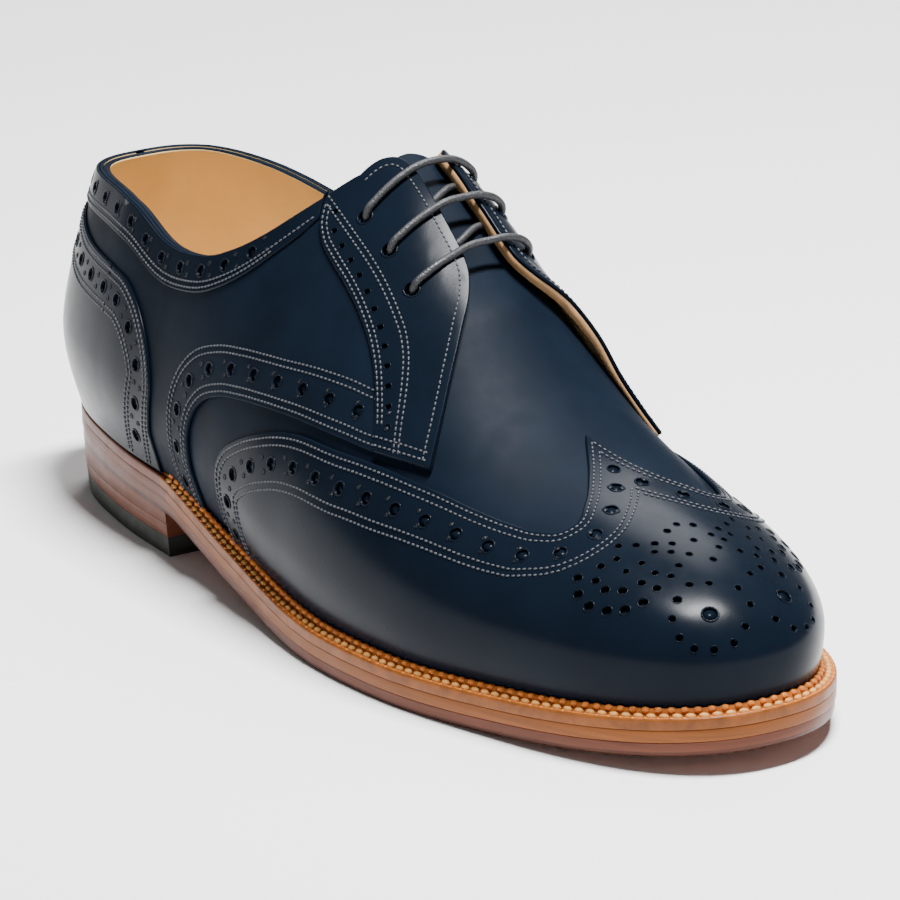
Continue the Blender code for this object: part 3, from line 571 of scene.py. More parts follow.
def leather_sheet(name, ring, holes, top, low, materials, edge=0.4, margin=1.1, mouth=None, bare=None):
    """Closed sheet of leather over the last with rounded edges and punched holes."""
    ring = closed_ring(ring)
    rims = [(ring, ring - ring_out(ring) * edge)]
    keep = inside(PATTERN, rims[0][1], margin)
    if mouth is not None:
        mouth = closed_ring(mouth)
        rims.append((mouth, mouth + ring_out(mouth) * edge))
        keep &= ~inside(PATTERN, rims[1][1], -margin)
    spots = PATTERN[keep]
    for x, y, radius in holes:
        root, metric = surface_measure(x, y)
        sides = BIG_HOLE_SIDES if radius > BIG_HOLE else SMALL_HOLE_SIDES
        lip = min(LIP_WIDTH, radius * LIP_SHARE)
        rims.append((hole_ring(x, y, radius, sides, root), hole_ring(x, y, radius + lip, sides, root)))
        away = spots - [x, y]
        spots = spots[np.einsum("ij,jk,ik->i", away, metric, away) > (radius + HOLE_CLEAR) ** 2]
    verts, edges, owner, starts = [], [], [], []
    for number, (_, shoulder) in enumerate(rims):
        start = len(verts)
        starts.append(start)
        verts += [Vector(p) for p in shoulder]
        edges += [(start + k, start + (k + 1) % len(shoulder)) for k in range(len(shoulder))]
        owner += [number] * len(shoulder)
    count = len(verts)
    verts += [Vector(p) for p in spots]
    flat, _, found, origin, _, _ = delaunay_2d_cdt(verts, edges, [list(range(len(rims[0][1])))], 1, 1e-7)
    where = {old: new for new, olds in enumerate(origin) for old in olds}
    loop_of = {where[k]: owner[k] for k in range(count)}
    flat = np.array([tuple(v) for v in flat])
    first_hole = 1 if mouth is None else 2
    centres = np.array([flat[list(face)].mean(axis=0) for face in found])
    gone = np.zeros(len(found), bool) if mouth is None else inside(centres, rims[1][1], 0.0)
    solid = []
    for face, out in zip(found, gone):
        loops = {loop_of.get(k, -1) for k in face}
        if not out and not (len(loops) == 1 and max(loops) >= first_hole):
            solid.append(tuple(face))
    total = len(flat)
    points = [skin(flat, top), skin(flat, low)]
    normal = skin_normal(flat, top)
    normals = [normal, -normal]
    lining = min(1, len(materials) - 1)
    raw = len(materials) - 1
    slots = [0] * len(solid) + [lining] * len(solid)
    faces = solid + [tuple(k + total for k in reversed(face)) for face in solid]
    base = 2 * total
    for number, (rim, shoulder) in enumerate(rims):
        n = len(rim)
        index = [where[starts[number] + k] for k in range(n)]
        points += [skin(rim, lambda x, y: top(x, y) - edge * 0.8), skin(rim, low)]
        normals += [np.zeros((n, 3)), np.zeros((n, 3))]
        forward = (double_area(rim) > 0) == (number == 0)
        open_edge = bare(rim) if bare is not None else np.zeros(n, bool)
        for k in range(n):
            m = (k + 1) % n
            rows = [(index[k], index[m]), (base + k, base + m), (base + n + k, base + n + m),
                    (index[k] + total, index[m] + total)]
            for step, ((a, b), (c, d)) in enumerate(zip(rows, rows[1:])):
                faces.append((a, c, d, b) if forward else (a, b, d, c))
                slots.append(raw if step == 1 and open_edge[k] else lining if step == 2 else 0)
        base += 2 * n
    return link(name, np.concatenate(points), faces, materials, slots, np.concatenate(normals))


def tube(path, radius, sides):
    """Points and faces of a round tube with closed ends."""
    path = [Vector(p) for p in path]
    points, faces = [], []
    up = Vector((1, 0, 0))
    for k, point in enumerate(path):
        along = (path[min(k + 1, len(path) - 1)] - path[max(k - 1, 0)]).normalized()
        up = (up - along * up.dot(along)).normalized()
        other = along.cross(up)
        for m in range(sides):
            t = 2 * math.pi * m / sides
            points.append(tuple(point + (up * math.cos(t) + other * math.sin(t)) * radius))
    for k in range(len(path) - 1):
        for m in range(sides):
            n = (m + 1) % sides
            a, b = k * sides, (k + 1) * sides
            faces.append((a + m, a + n, b + n, b + m))
    faces.append(tuple(range(sides))[::-1])
    faces.append(tuple(range(len(points) - sides, len(points))))
    return points, faces


def face_outwards(mesh):
    """Turns the faces of a closed mesh outwards."""
    bm = bmesh.new()
    bm.from_mesh(mesh)
    bmesh.ops.recalc_face_normals(bm, faces=bm.faces[:])
    bm.to_mesh(mesh)
    bm.free()


def ride(obj, slot, *nodes):
    """Puts a piece on the body, in place of its solids; the slot is not used."""
    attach(obj, BODY)
    if nodes:
        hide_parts(*nodes)
    return obj


# Materials

def node_group(name, inputs, outputs):
    tree = bpy.data.node_groups.new(name, "ShaderNodeTree")
    for label, kind, default in inputs:
        socket = tree.interface.new_socket(label, in_out="INPUT", socket_type=kind)
        socket.default_value = default
    for label, kind in outputs:
        tree.interface.new_socket(label, in_out="OUTPUT", socket_type=kind)
    return tree, tree.nodes.new("NodeGroupInput"), tree.nodes.new("NodeGroupOutput")


def add(tree, kind, inputs=None, **settings):
    """New node with its settings; an input takes a value or another node's output."""
    node = tree.nodes.new(kind)
    for key, value in settings.items():
        setattr(node, key, value)
    for key, value in (inputs or {}).items():
        if isinstance(value, bpy.types.NodeSocket):
            tree.links.new(value, node.inputs[key])
        else:
            node.inputs[key].default_value = value
    return node


def noise(tree, source, scale, detail=3.0, rough=0.55):
    values = {"Vector": source, "Scale": scale, "Detail": detail, "Roughness": rough}
    return add(tree, "ShaderNodeTexNoise", values).outputs["Fac"]


FINE_GRAIN, FINE_SHARE, GLOSS_PATCHES = 2600.0, 0.5, 160.0


def leather_group():
    """Grain height, patchy colour mask and patchy gloss mask of leather."""
    if "leather_surface" in bpy.data.node_groups:
        return bpy.data.node_groups["leather_surface"]
    tree, start, end = node_group(
        "leather_surface",
        [("Grain Scale", "NodeSocketFloat", 1500.0), ("Patch Scale", "NodeSocketFloat", 45.0)],
        [("Grain", "NodeSocketFloat"), ("Patch", "NodeSocketFloat"), ("Gloss", "NodeSocketFloat")],
    )
    place = add(tree, "ShaderNodeTexCoord").outputs["Object"]
    cells = add(tree, "ShaderNodeTexVoronoi", {"Vector": place, "Scale": start.outputs["Grain Scale"]},
                feature="SMOOTH_F1")
    grain = add(tree, "ShaderNodeMath",
                {0: noise(tree, place, FINE_GRAIN), 1: FINE_SHARE, 2: cells.outputs["Distance"]},
                operation="MULTIPLY_ADD")
    for label, mask in (
        ("Grain", grain.outputs[0]), ("Patch", noise(tree, place, start.outputs["Patch Scale"], 4.0)),
        ("Gloss", noise(tree, place, GLOSS_PATCHES, 2.0)),
    ):
        tree.links.new(mask, end.inputs[label])
    return tree


def ramp(tree, source, stops):
    """Colours or values of a mask between given places."""
    node = add(tree, "ShaderNodeValToRGB", {"Fac": source})
    elements = node.color_ramp.elements
    while len(elements) < len(stops):
        elements.new(0.5)
    for element, (place, value) in zip(elements, stops):
        element.position = place
        element.color = (*value, 1.0) if not isinstance(value, float) else (value, value, value, 1.0)
    return node.outputs["Color"]


def finish_nodes(name):
    """New material, its node tree and its shader."""
    material = bpy.data.materials.new(name)
    material.use_nodes = True
    return material, material.node_tree, material.node_tree.nodes["Principled BSDF"]


def relief(tree, shader, height, strength, depth):
    """Bump of a finish; the depth is in millimetres."""
    values = {"Height": height, "Strength": strength, "Distance": depth * MM}
    tree.links.new(add(tree, "ShaderNodeBump", values).outputs["Normal"], shader.inputs["Normal"])


PATCH_STOPS = (0.3, 0.7)
STREAKS, EDGE_PATCHES = (40.0, 40.0, 900.0), 120.0
EDGE_SPECULAR, EDGE_RELIEF, EDGE_RELIEF_DEPTH = 0.18, 0.35, 0.08


def leather(name, tones, rough, grain, scale=1500.0, patch=45.0, bump=0.12, specular=0.5):
    """Leather with grain, patchy colour and patchy gloss."""
    material, tree, shader = finish_nodes(name)
    group = add(tree, "ShaderNodeGroup", {"Grain Scale": scale, "Patch Scale": patch},
                node_tree=leather_group())
    for mask, values, target in (("Patch", tones, "Base Color"), ("Gloss", rough, "Roughness")):
        mixed = ramp(tree, group.outputs[mask], list(zip(PATCH_STOPS, values)))
        tree.links.new(mixed, shader.inputs[target])
    shader.inputs["Specular IOR Level"].default_value = specular
    relief(tree, shader, group.outputs["Grain"], grain, bump)
    return material


def layered_edge(name, stops, rough):
    """Burnished leather edge whose colour changes through the layers and in fine streaks."""
    material, tree, shader = finish_nodes(name)
    place = add(tree, "ShaderNodeTexCoord").outputs["Object"]
    stretch = add(tree, "ShaderNodeMapping", {"Vector": place, "Scale": STREAKS})
    streak = noise(tree, stretch.outputs["Vector"], 1.0, 4.0)
    tree.links.new(ramp(tree, streak, stops), shader.inputs["Base Color"])
    gloss = ramp(tree, noise(tree, place, EDGE_PATCHES), list(zip(PATCH_STOPS, rough)))
    tree.links.new(gloss, shader.inputs["Roughness"])
    shader.inputs["Specular IOR Level"].default_value = EDGE_SPECULAR
    relief(tree, shader, streak, EDGE_RELIEF, EDGE_RELIEF_DEPTH)
    return material


# Leathers: key, name, colour, shades, roughness, grain, other values.
LEATHERS = (
    ("upper", "polished_navy_calf", "upper", (0.85, 1.15), (0.21, 0.26), 0.12,
     {"bump": 0.04, "specular": 0.058}),
    # Soft leather of the vamp and quarters: rougher, and its shades run lighter than the polished leather's
    # to paint a blue sheen on them.
    ("soft", "soft_navy_calf", "upper", (1.0, 1.5), (0.44, 0.49), 0.15, {"bump": 0.04, "specular": 0.03}),
    # Dark copy of the upper leather for the pinholes' floors: painted shade inside the pinholes.
    ("hole", "punched_edge", "upper", (0.25, 0.4), (0.5, 0.7), 0.2, {}),
    ("lining", "calf_lining", "lining", (0.88, 1.06), (0.45, 0.6), 0.4, {"scale": 1100.0, "patch": 30.0}),
    ("sock", "calf_sock", "lining", (0.5, 0.62), (0.5, 0.65), 0.4, {"scale": 1100.0, "patch": 30.0}),
    ("raw_edge", "raw_lining_edge", "raw", (0.75, 1.1), (0.6, 0.75), 0.4, {"patch": 300.0}),
    ("welt", "welt_leather", "welt", (0.75, 1.2), (0.35, 0.5), 0.5, {"patch": 220.0, "specular": 0.2}),
    # Lighter copy of the welt leather for the ridge's bumps and the edge's ticks: painted highlight on the
    # raised beads.
    ("welt_bump", "welt_ridge", "welt", (0.9, 1.6), (0.3, 0.45), 0.5, {"patch": 500.0, "specular": 0.2}),
    ("welt_edge", "welt_edge", "welt", (0.34, 0.6), (0.3, 0.45), 0.4, {"patch": 220.0, "specular": 0.2}),
    ("tread", "sole_tread", "sole_edge", (1.2, 1.6), (0.5, 0.65), 0.5, {"patch": 60.0}),
    ("rubber", "top_piece_rubber", "rubber", (0.8, 1.3), (0.6, 0.8), 0.5, {"scale": 2500.0}),
    ("thread", "upper_thread", "thread", (0.75, 1.15), (0.45, 0.6), 0.5, {"scale": 4000.0, "patch": 600.0}),
    ("welt_thread", "welt_thread", "welt_thread", (0.7, 1.15), (0.5, 0.65), 0.6,
     {"scale": 4000.0, "patch": 400.0}),
    ("lace", "waxed_lace", "lace", (0.7, 1.3), (0.45, 0.6), 0.8,
     {"scale": 2200.0, "patch": 900.0, "bump": 0.2}),
)
# Burnished edges: key, name, colour, places of the shades, shades, roughness.
EDGES = (
    ("edge_dark", "burnished_lower_edge", "sole_edge", (0.25, 0.75), (0.35, 0.6), (0.3, 0.45)),
    ("edge", "burnished_edge", "sole_edge", (0.25, 0.75), (0.72, 1.2), (0.28, 0.42)),
    ("edge_light", "midsole_edge", "welt", (0.25, 0.75), (0.36, 0.6), (0.28, 0.42)),
    ("stack", "stacked_lifts", "heel_stack", (0.3, 0.7), (0.75, 1.2), (0.32, 0.48)),
)
# Raw edge of the lining: parts of the lining's and of the welt's colour.
RAW_LINING, RAW_WELT = 0.25, 0.35
MATERIALS = {}


def shaded(color, factors):
    return [tuple(c * factor for c in color) for factor in factors]


def materials():
    """All finishes, made once from the scene's colour settings."""
    if MATERIALS:
        return MATERIALS
    settings = bpy.context.scene.derby_colors
    colors = {key: tuple(getattr(settings, key)) for key in DerbyColors.__annotations__}
    colors["raw"] = [RAW_LINING * a + RAW_WELT * b for a, b in zip(colors["lining"], colors["welt"])]
    for key, name, color, shades, rough, grain, others in LEATHERS:
        MATERIALS[key] = leather(name, shaded(colors[color], shades), rough, grain, **others)
    for key, name, color, places, shades, rough in EDGES:
        MATERIALS[key] = layered_edge(name, list(zip(places, shaded(colors[color], shades))), rough)
    return MATERIALS


def flat_height(value):
    return lambda x, y: np.full(np.shape(x), float(value))


# Panels of the upper

PANELS = []
PUNCHED = []
LINES = {}
QUARTER_LOW, QUARTER_TOP = 0.05, 1.1
OVERLAY_LOW, FACING_TOP, COUNTER_TOP, BAND_TOP = 1.15, 2.1, 2.0, 1.95
WING_LOW, WING_TOP = 0.05, 1.25
SHELL_WALL = 1.8
BAND_WIDTH = 10.6
# Ends along the top line: back, band above and below, its stitches and holes, mouth of the shell.
X_BACK, X_BAND, X_BAND_LOW, X_BAND_ROW, X_BAND_HOLES, X_MOUTH = 6.6, 133.0, 132.5, 134.0, 127.5, 137.2
BAND_DROP = 0.45
# Height of the free front edge above the vamp: x, outer side, inner side.
FLAP_ROWS = (
    (136, 0.1, 0.3), (150, 0.1, 0.5), (165, 0.2, 0.8), (176, 0.8, 2.0), (185, 1.3, 4.0),
    (192, 1.3, 3.4), (198, 0.8, 1.2), (203, 0.4, 0.3), (207, 0.2, 0.1),
)
FLAP_REACH = 17.0
# Thick inner front edge: depth, reach, x where it ends, run.
EDGE_DEPTH, EDGE_REACH, EDGE_END, EDGE_RUN = 1.5, 6.0, 200, 12
# Walking creases over the vamp: x at the ridge, bow, depth, half width, reach across.
CREASES = ((207.0, 6.0, 0.09, 2.2, 30.0), (214.5, 4.0, 0.06, 2.0, 22.0))
TONGUE_TIP = (
    (139.4, 13.0), (139.0, 9.6), (138.8, 6.5), (138.7, 3.0), (138.7, -1.0), (138.7, -5.0),
    (138.8, -8.6), (139.0, -11.8), (139.4, -14.8),
)
# Hollow of the tongue under the facings: depth, x where it starts, run, half width.
TONGUE_HOLLOW = (3.2, 187.0, 16.0, 13.0)
X_THROAT = 118.0
# Inner front edge, moved towards the ridge: distance, edge's y and its run, edge's x and its run.
INNER_FLAP = (1.8, 14, 4, 146, 12)
NAMED_SIDES = ((LATERAL, "lateral"), (MEDIAL, "medial"))
EYE_RADIUS = 1.9
# Rows of stitches: distances from a panel's edge.
CLOSE_ROWS, FACING_ROWS, FRONT_ROWS = (1.3, 3.0), (1.3, 2.9), (0.85, -0.85)
WING_FAR_ROWS, FAR_ROWS = (11.0, 12.7), (10.6, 12.2)
# Holes of a band: distance from the edge, pitch, radius, free start, free end, pinholes' distance.
WING_HOLES = (7.1, 10.6, 1.7, 5.0, 6.0, 1.6)
QUARTER_HOLES = (6.8, 11.4, 1.7, 5.0, 15.0, 1.6)
COUNTER_HOLES = (6.8, 11.0, 1.7, 8.0, 5.5, 1.6)
FACING_HOLES = (5.0, 5.7, 0.8, 1.0, 6.0, 0.0)
COLLAR_HOLES = (4.6, 11.2, 1.6, 2.0, 5.6, 1.5)
FLAP_ROW = 2.6
# Single hole between the wing's tip and the toe: distance from the tip, radius.
TIP_HOLE = (13.0, 1.5)


def pattern_lines():
    """Outlines of the panels on the flat pattern, made once."""
    if LINES:
        return LINES
    for side in SIDES:
        flap = smooth_line(on_side(FLAP_LINE, side))
        if side == MEDIAL:
            shift, y, y_run, x, x_run = INNER_FLAP
            low, ahead = np.clip((y - flap[:, 1]) / y_run, 0, 1), np.clip((flap[:, 0] - x) / x_run, 0, 1)
            flap[:, 1] -= shift * low * ahead
        LINES["flap", side] = flap
        for key, rows in (("wing", WING_LINE), ("quarter", QUARTER_LINE), ("facing", FACING_EDGE),
                          ("front_row", FACING_FRONT_ROW), ("counter", COUNTER_LINE)):
            LINES[key, side] = smooth_line(on_side(rows, side))
    return LINES


def flap_lift(side):
    """Height that the free front of a quarter stands off the vamp."""
    line = pattern_lines()["flap", side]

    def height(x, y):
        gap = gaps(x, y, line)
        fall = np.clip(1 - gap.min(axis=1) / FLAP_REACH, 0, 1) ** 2
        return curve(FLAP_ROWS, side_column(side), line[gap.argmin(axis=1), 0]) * fall
    return height


def raised(value, extra):
    return lambda x, y: value + extra(x, y)


def thick_edge(low, line):
    """Underside that reaches lower near a line, where leather and lining end together."""
    def height(x, y):
        near = np.clip(1 - gaps(x, y, line).min(axis=1) / EDGE_REACH, 0, 1)
        return low(x, y) - EDGE_DEPTH * near * np.clip((EDGE_END - x) / EDGE_RUN, 0, 1)
    return height


def surface_height(flat):
    """Height of the uppermost panel at points of the flat pattern."""
    high = np.zeros(len(flat))
    for ring, top in PANELS:
        here = inside(flat, ring, -0.05)
        if here.any():
            high[here] = np.maximum(high[here], top(flat[here, 0], flat[here, 1]))
    return high


LOOK_AHEAD = 0.3


def points_at(at, run, line):
    """Points of a line at given lengths along it."""
    return np.stack([np.interp(at, run, line[:, k]) for k in range(line.shape[1])], -1)


def spaced(line, pitch, skip=0.0, end=None):
    """Points of a line at even steps measured on the shoe, with the line's direction."""
    line = drop_repeats(line)
    p = skin(line, flat_height(1.0))
    run = run_along(p)
    stop = run[-1] - (skip if end is None else end)
    if stop - skip < pitch:
        return np.zeros((0, 2)), np.zeros((0, 2))
    n = max(1, int(round((stop - skip) / pitch)))
    at = np.linspace(skip, stop, n + 1)
    ahead = points_at(np.clip(at + LOOK_AHEAD, 0, run[-1]), run, line)
    behind = points_at(np.clip(at - LOOK_AHEAD, 0, run[-1]), run, line)
    return points_at(at, run, line), unit(ahead - behind)


def down_to_welt(edge, distance, panel, reach=16.0, step=LINE_STEP):
    """Line beside a panel's edge, carried straight on from the edge's start to the welt."""
    ahead = edge[0] - edge[3]
    ahead = ahead / np.hypot(*ahead)
    added = edge[0] + ahead * np.arange(reach, step / 2, -step)[:, None]
    line = beside(np.concatenate([added, edge]), distance)
    return line[np.argmax(inside(line, ring_of(panel), 0.3)):]


class Brogueing:
    """Rows of stitches, punched holes and pinholes gathered from the bands of the panels."""

    def __init__(self):
        self.rows, self.pins, self.big = [], [], []

    def row(self, line, panel, side=0, clear=()):
        """One row of stitches on a panel, kept to one side of the ridge and off other panels."""
        self.rows.append((line, panel, side, clear))

    def holes(self, middle, pitch, radius, skip, end, across, side=0):
        """Large holes along a line, with a pair of pinholes between each two."""
        if side:
            middle = middle[middle[:, 1] * side > 0.0]
        spots, _ = spaced(middle, pitch, skip, end)
        self.big += [(x, y, radius) for x, y in spots]
        if across and len(spots):
            between, along = spaced(middle, pitch / 2, skip, end)
            for (x, y), (dx, dy) in list(zip(between, along))[1::2]:
                self.pins += [(x - dy * across, y + dx * across), (x + dy * across, y - dx * across)]


BROGUE = Brogueing()


def gather_brogueing():
    """All bands of the shoe, from the outlines of its panels."""
    lines = pattern_lines()
    if BROGUE.rows:
        return BROGUE
    for side in SIDES:
        facing, quarter = ("facing", side), ("quarter", side)
        edge = lines["wing", side]
        for distance in CLOSE_ROWS + WING_FAR_ROWS:
            BROGUE.row(down_to_welt(edge, side * distance, "wing"), "wing", side)
        distance, *holes = WING_HOLES
        BROGUE.holes(down_to_welt(edge, side * distance, "wing"), *holes, side)
        edge = lines["quarter", side]
        for distance in CLOSE_ROWS:
            BROGUE.row(down_to_welt(edge, -side * distance, quarter), quarter)
        for distance in FAR_ROWS:
            BROGUE.row(down_to_welt(edge, -side * distance, quarter), quarter, 0, (facing, "counter"))
        distance, *holes = QUARTER_HOLES
        BROGUE.holes(down_to_welt(edge, -side * distance, quarter), *holes)
        edge = lines["counter", side]
        for distance in CLOSE_ROWS + FAR_ROWS:
            BROGUE.row(down_to_welt(edge, -side * distance, "counter"), "counter")
        distance, *holes = COUNTER_HOLES
        BROGUE.holes(down_to_welt(edge, -side * distance, "counter"), *holes)
        edge = lines["facing", side][3:]
        for distance in FACING_ROWS:
            BROGUE.row(beside(edge, -side * distance)[:-4], facing)
        distance, *holes = FACING_HOLES
        BROGUE.holes(beside(edge, -side * distance), *holes)
        for distance in FRONT_ROWS:
            BROGUE.row(beside(lines["front_row", side], distance), facing)
        BROGUE.row(beside(lines["flap", side], -side * FLAP_ROW), facing)
        for distance in FACING_ROWS:
            BROGUE.row(collar_edge(X_BAND_ROW, X_BACK, side, drop=BAND_WIDTH - distance), "band")
        distance, *holes = COLLAR_HOLES
        BROGUE.holes(collar_edge(X_BAND_HOLES, X_BACK, side, drop=distance), *holes)
    distance, radius = TIP_HOLE
    BROGUE.big.append((WING_LINE[-1][0] + distance, 0.0, radius))
    for x, y, radius in MEDALLION:
        BROGUE.big += [(x, -y, radius * MEDALLION_SCALE), (x, y, radius * MEDALLION_SCALE)]
    BROGUE.big += [(x, 0.0, radius * MEDALLION_SCALE) for x, radius in MEDALLION_RIDGE]
    return BROGUE


def holes_in(ring, others=(), clear=0.9, largest=9.0):
    """Punched holes up to a radius that lie wholly on a panel and under no other panel."""
    spots = np.array(gather_brogueing().big)
    spots = spots[spots[:, 2] <= largest]
    keep = np.zeros(len(spots), bool)
    for radius in set(spots[:, 2]):
        same = spots[:, 2] == radius
        keep[same] = inside(spots[same, :2], ring, radius + clear)
        for other in others:
            keep[same] &= ~inside(spots[same, :2], other, -radius - clear)
    found = [tuple(spot) for spot in spots[keep]]
    PUNCHED.extend(found)
    return found


def eyelets(side, radius):
    return [(row[0], side * row[side_column(side)], radius) for row in EYELETS]


def panel_rings():
    """Closed outlines of the panels."""
    lines = pattern_lines()
    rings = {}
    tail = WING_LINE[0][0]
    wing = {side: lines["wing", side] for side in SIDES}
    rings["wing"] = np.concatenate([
        welt_edge(tail, SOLE_FRONT, LATERAL), welt_edge(SOLE_FRONT, tail, MEDIAL),
        wing[MEDIAL], wing[LATERAL][::-1],
    ])
    counter = {side: lines["counter", side] for side in SIDES}
    front = COUNTER_LINE[0][0]
    rings["counter"] = np.concatenate([
        welt_edge(front, 0.0, LATERAL), welt_edge(0.0, front, MEDIAL),
        counter[MEDIAL], counter[LATERAL][::-1],
    ])
    for side in SIDES:
        flap, quarter, facing = lines["flap", side], lines["quarter", side], lines["facing", side]
        corner = flap[-1][0]
        foot = welt_edge(0.0, QUARTER_LINE[0][0], side)
        collar = collar_edge(corner - 0.8, X_BACK, side, drop=0.2)
        back = polyline([collar[-1], foot[0]])[1:-1]
        rings["quarter", side] = np.concatenate([foot, quarter, flap, collar, back])
        ahead = quarter[quarter[:, 0] > facing[-1][0] + 0.6]
        rings["facing", side] = np.concatenate([
            facing, ahead, flap, collar_edge(corner - 0.9, facing[0][0] + 0.5, side, drop=0.5),
        ])
    outer = collar_edge(X_BAND, X_BACK, LATERAL, drop=BAND_DROP)
    inner = collar_edge(X_BACK, X_BAND, MEDIAL, drop=BAND_DROP)
    rings["band"] = np.concatenate([
        outer, inner, lines["facing", MEDIAL][:7] - [0.5, 0.0],
        collar_edge(X_BAND_LOW, X_BACK, MEDIAL, drop=BAND_WIDTH),
        collar_edge(X_BACK, X_BAND_LOW, LATERAL, drop=BAND_WIDTH),
        lines["facing", LATERAL][:7][::-1] - [0.5, 0.0],
    ])
    return rings


RINGS = {}


def ring_of(key):
    """Closed outline of a panel; all are made once."""
    if not RINGS:
        RINGS.update({name: closed_ring(ring) for name, ring in panel_rings().items()})
    return RINGS[key]


def vamp_height(x, y):
    """Skin of the vamp with its walking creases, and of the tongue it runs into."""
    deep, start, run, half = TONGUE_HOLLOW
    t = np.clip((start - x) / run, 0, 1)
    high = -deep * t * t * (3 - 2 * t) * np.exp(-((y + 1) / half) ** 2) * (x > X_THROAT)
    for at, bow, depth, width, reach in CREASES:
        away = (x - at - bow * (y / reach) ** 2) / width
        high = high - depth * np.exp(-away ** 2) * np.clip(1.3 - (y / reach) ** 2, 0, 1)
    return high


class DERBY_OT_upper(bpy.types.Operator):
    """Lined shell of the upper, running from the vamp into the tongue"""
    bl_idname = "derby.upper"
    bl_label = "Upper shell"

    def execute(self, context):
        made = materials()
        feather = np.concatenate([
            welt_edge(0.0, SOLE_FRONT, LATERAL, lift=0.0), welt_edge(SOLE_FRONT, 0.0, MEDIAL, lift=0.0),
        ])
        mouth = np.concatenate([
            collar_edge(X_BACK, X_MOUTH, LATERAL), smooth_line(TONGUE_TIP, 1.0)[::-1],
            collar_edge(X_MOUTH, X_BACK, MEDIAL),
        ])
        shell = leather_sheet("upper_shell", feather, [], vamp_height,
                              lambda x, y: vamp_height(x, y) - SHELL_WALL, [made["soft"], made["lining"]],
                              edge=0.6, mouth=mouth)
        ride(shell, "upper_leather", "upper", "tongue")
        return {"FINISHED"}


class DERBY_OT_quarters(bpy.types.Operator):
    """Outer and inner quarter with their free front flaps"""
    bl_idname = "derby.quarters"
    bl_label = "Quarters"

    def execute(self, context):
        made = materials()
        for side, word in NAMED_SIDES:
            ring = ring_of(("quarter", side))
            lift = flap_lift(side)
            flap = pattern_lines()["flap", side]

            def bare(rim, flap=flap):
                return gaps(rim[:, 0], rim[:, 1], flap).min(axis=1) < 0.3

            covers = [ring_of(("facing", side)), ring_of("band"), ring_of("counter")]
            holes = holes_in(ring, covers)
            eyes = eyelets(side, EYE_RADIUS)
            top = raised(QUARTER_TOP, lift)
            low = raised(QUARTER_LOW, lift)
            if side == MEDIAL:
                low = thick_edge(low, flap)
            sheet = leather_sheet("quarter_leather_" + word, ring, holes + eyes, top, low,
                                  [made["soft"], made["lining"], made["raw_edge"]], edge=0.3,
                                  bare=bare if side == MEDIAL else None)
            ride(sheet, "upper_leather", "quarter_" + word)
            PANELS.append((ring, top))
        return {"FINISHED"}


class DERBY_OT_facings(bpy.types.Operator):
    """Eyelet facings laid over the front of the quarters"""
    bl_idname = "derby.facings"
    bl_label = "Facings"

    def execute(self, context):
        made = materials()
        for side, word in NAMED_SIDES:
            ring = ring_of(("facing", side))
            lift = flap_lift(side)
            eyes = eyelets(side, EYE_RADIUS + 0.1)
            top = raised(FACING_TOP, lift)
            PUNCHED.extend(eyes)
            sheet = leather_sheet("facing_leather_" + word, ring, holes_in(ring, largest=1.0) + eyes, top,
                                  raised(OVERLAY_LOW, lift), [made["upper"]])
            ride(sheet, "upper_leather", "facing_" + word)
            PANELS.append((ring, top))
        return {"FINISHED"}


class DERBY_OT_counter(bpy.types.Operator):
    """Heel counter and the band along the top line"""
    bl_idname = "derby.counter"
    bl_label = "Counter and collar band"

    def execute(self, context):
        made = materials()
        for name, key, top, covers, nodes in (
            ("counter_leather", "counter", COUNTER_TOP, [ring_of("band")], ["heel_counter"]),
            ("collar_band", "band", BAND_TOP, [], []),
        ):
            ring = ring_of(key)
            high = flat_height(top)
            holes = holes_in(ring, covers)
            sheet = leather_sheet(name, ring, holes, high, flat_height(OVERLAY_LOW), [made["upper"]])
            ride(sheet, "upper_leather", *nodes)
            PANELS.append((ring, high))
        return {"FINISHED"}


class DERBY_OT_wing_cap(bpy.types.Operator):
    """Winged toe cap with its punched band and medallion"""
    bl_idname = "derby.wing_cap"
    bl_label = "Wing cap"

    def execute(self, context):
        made = materials()
        ring = ring_of("wing")
        high = flat_height(WING_TOP)
        low = flat_height(WING_LOW)
        sheet = leather_sheet("wing_cap_leather", ring, holes_in(ring), high, low, [made["upper"]])
        ride(sheet, "upper_leather", "wing_cap")
        PANELS.append((ring, high))
        return {"FINISHED"}


# Repeated details by geometry nodes

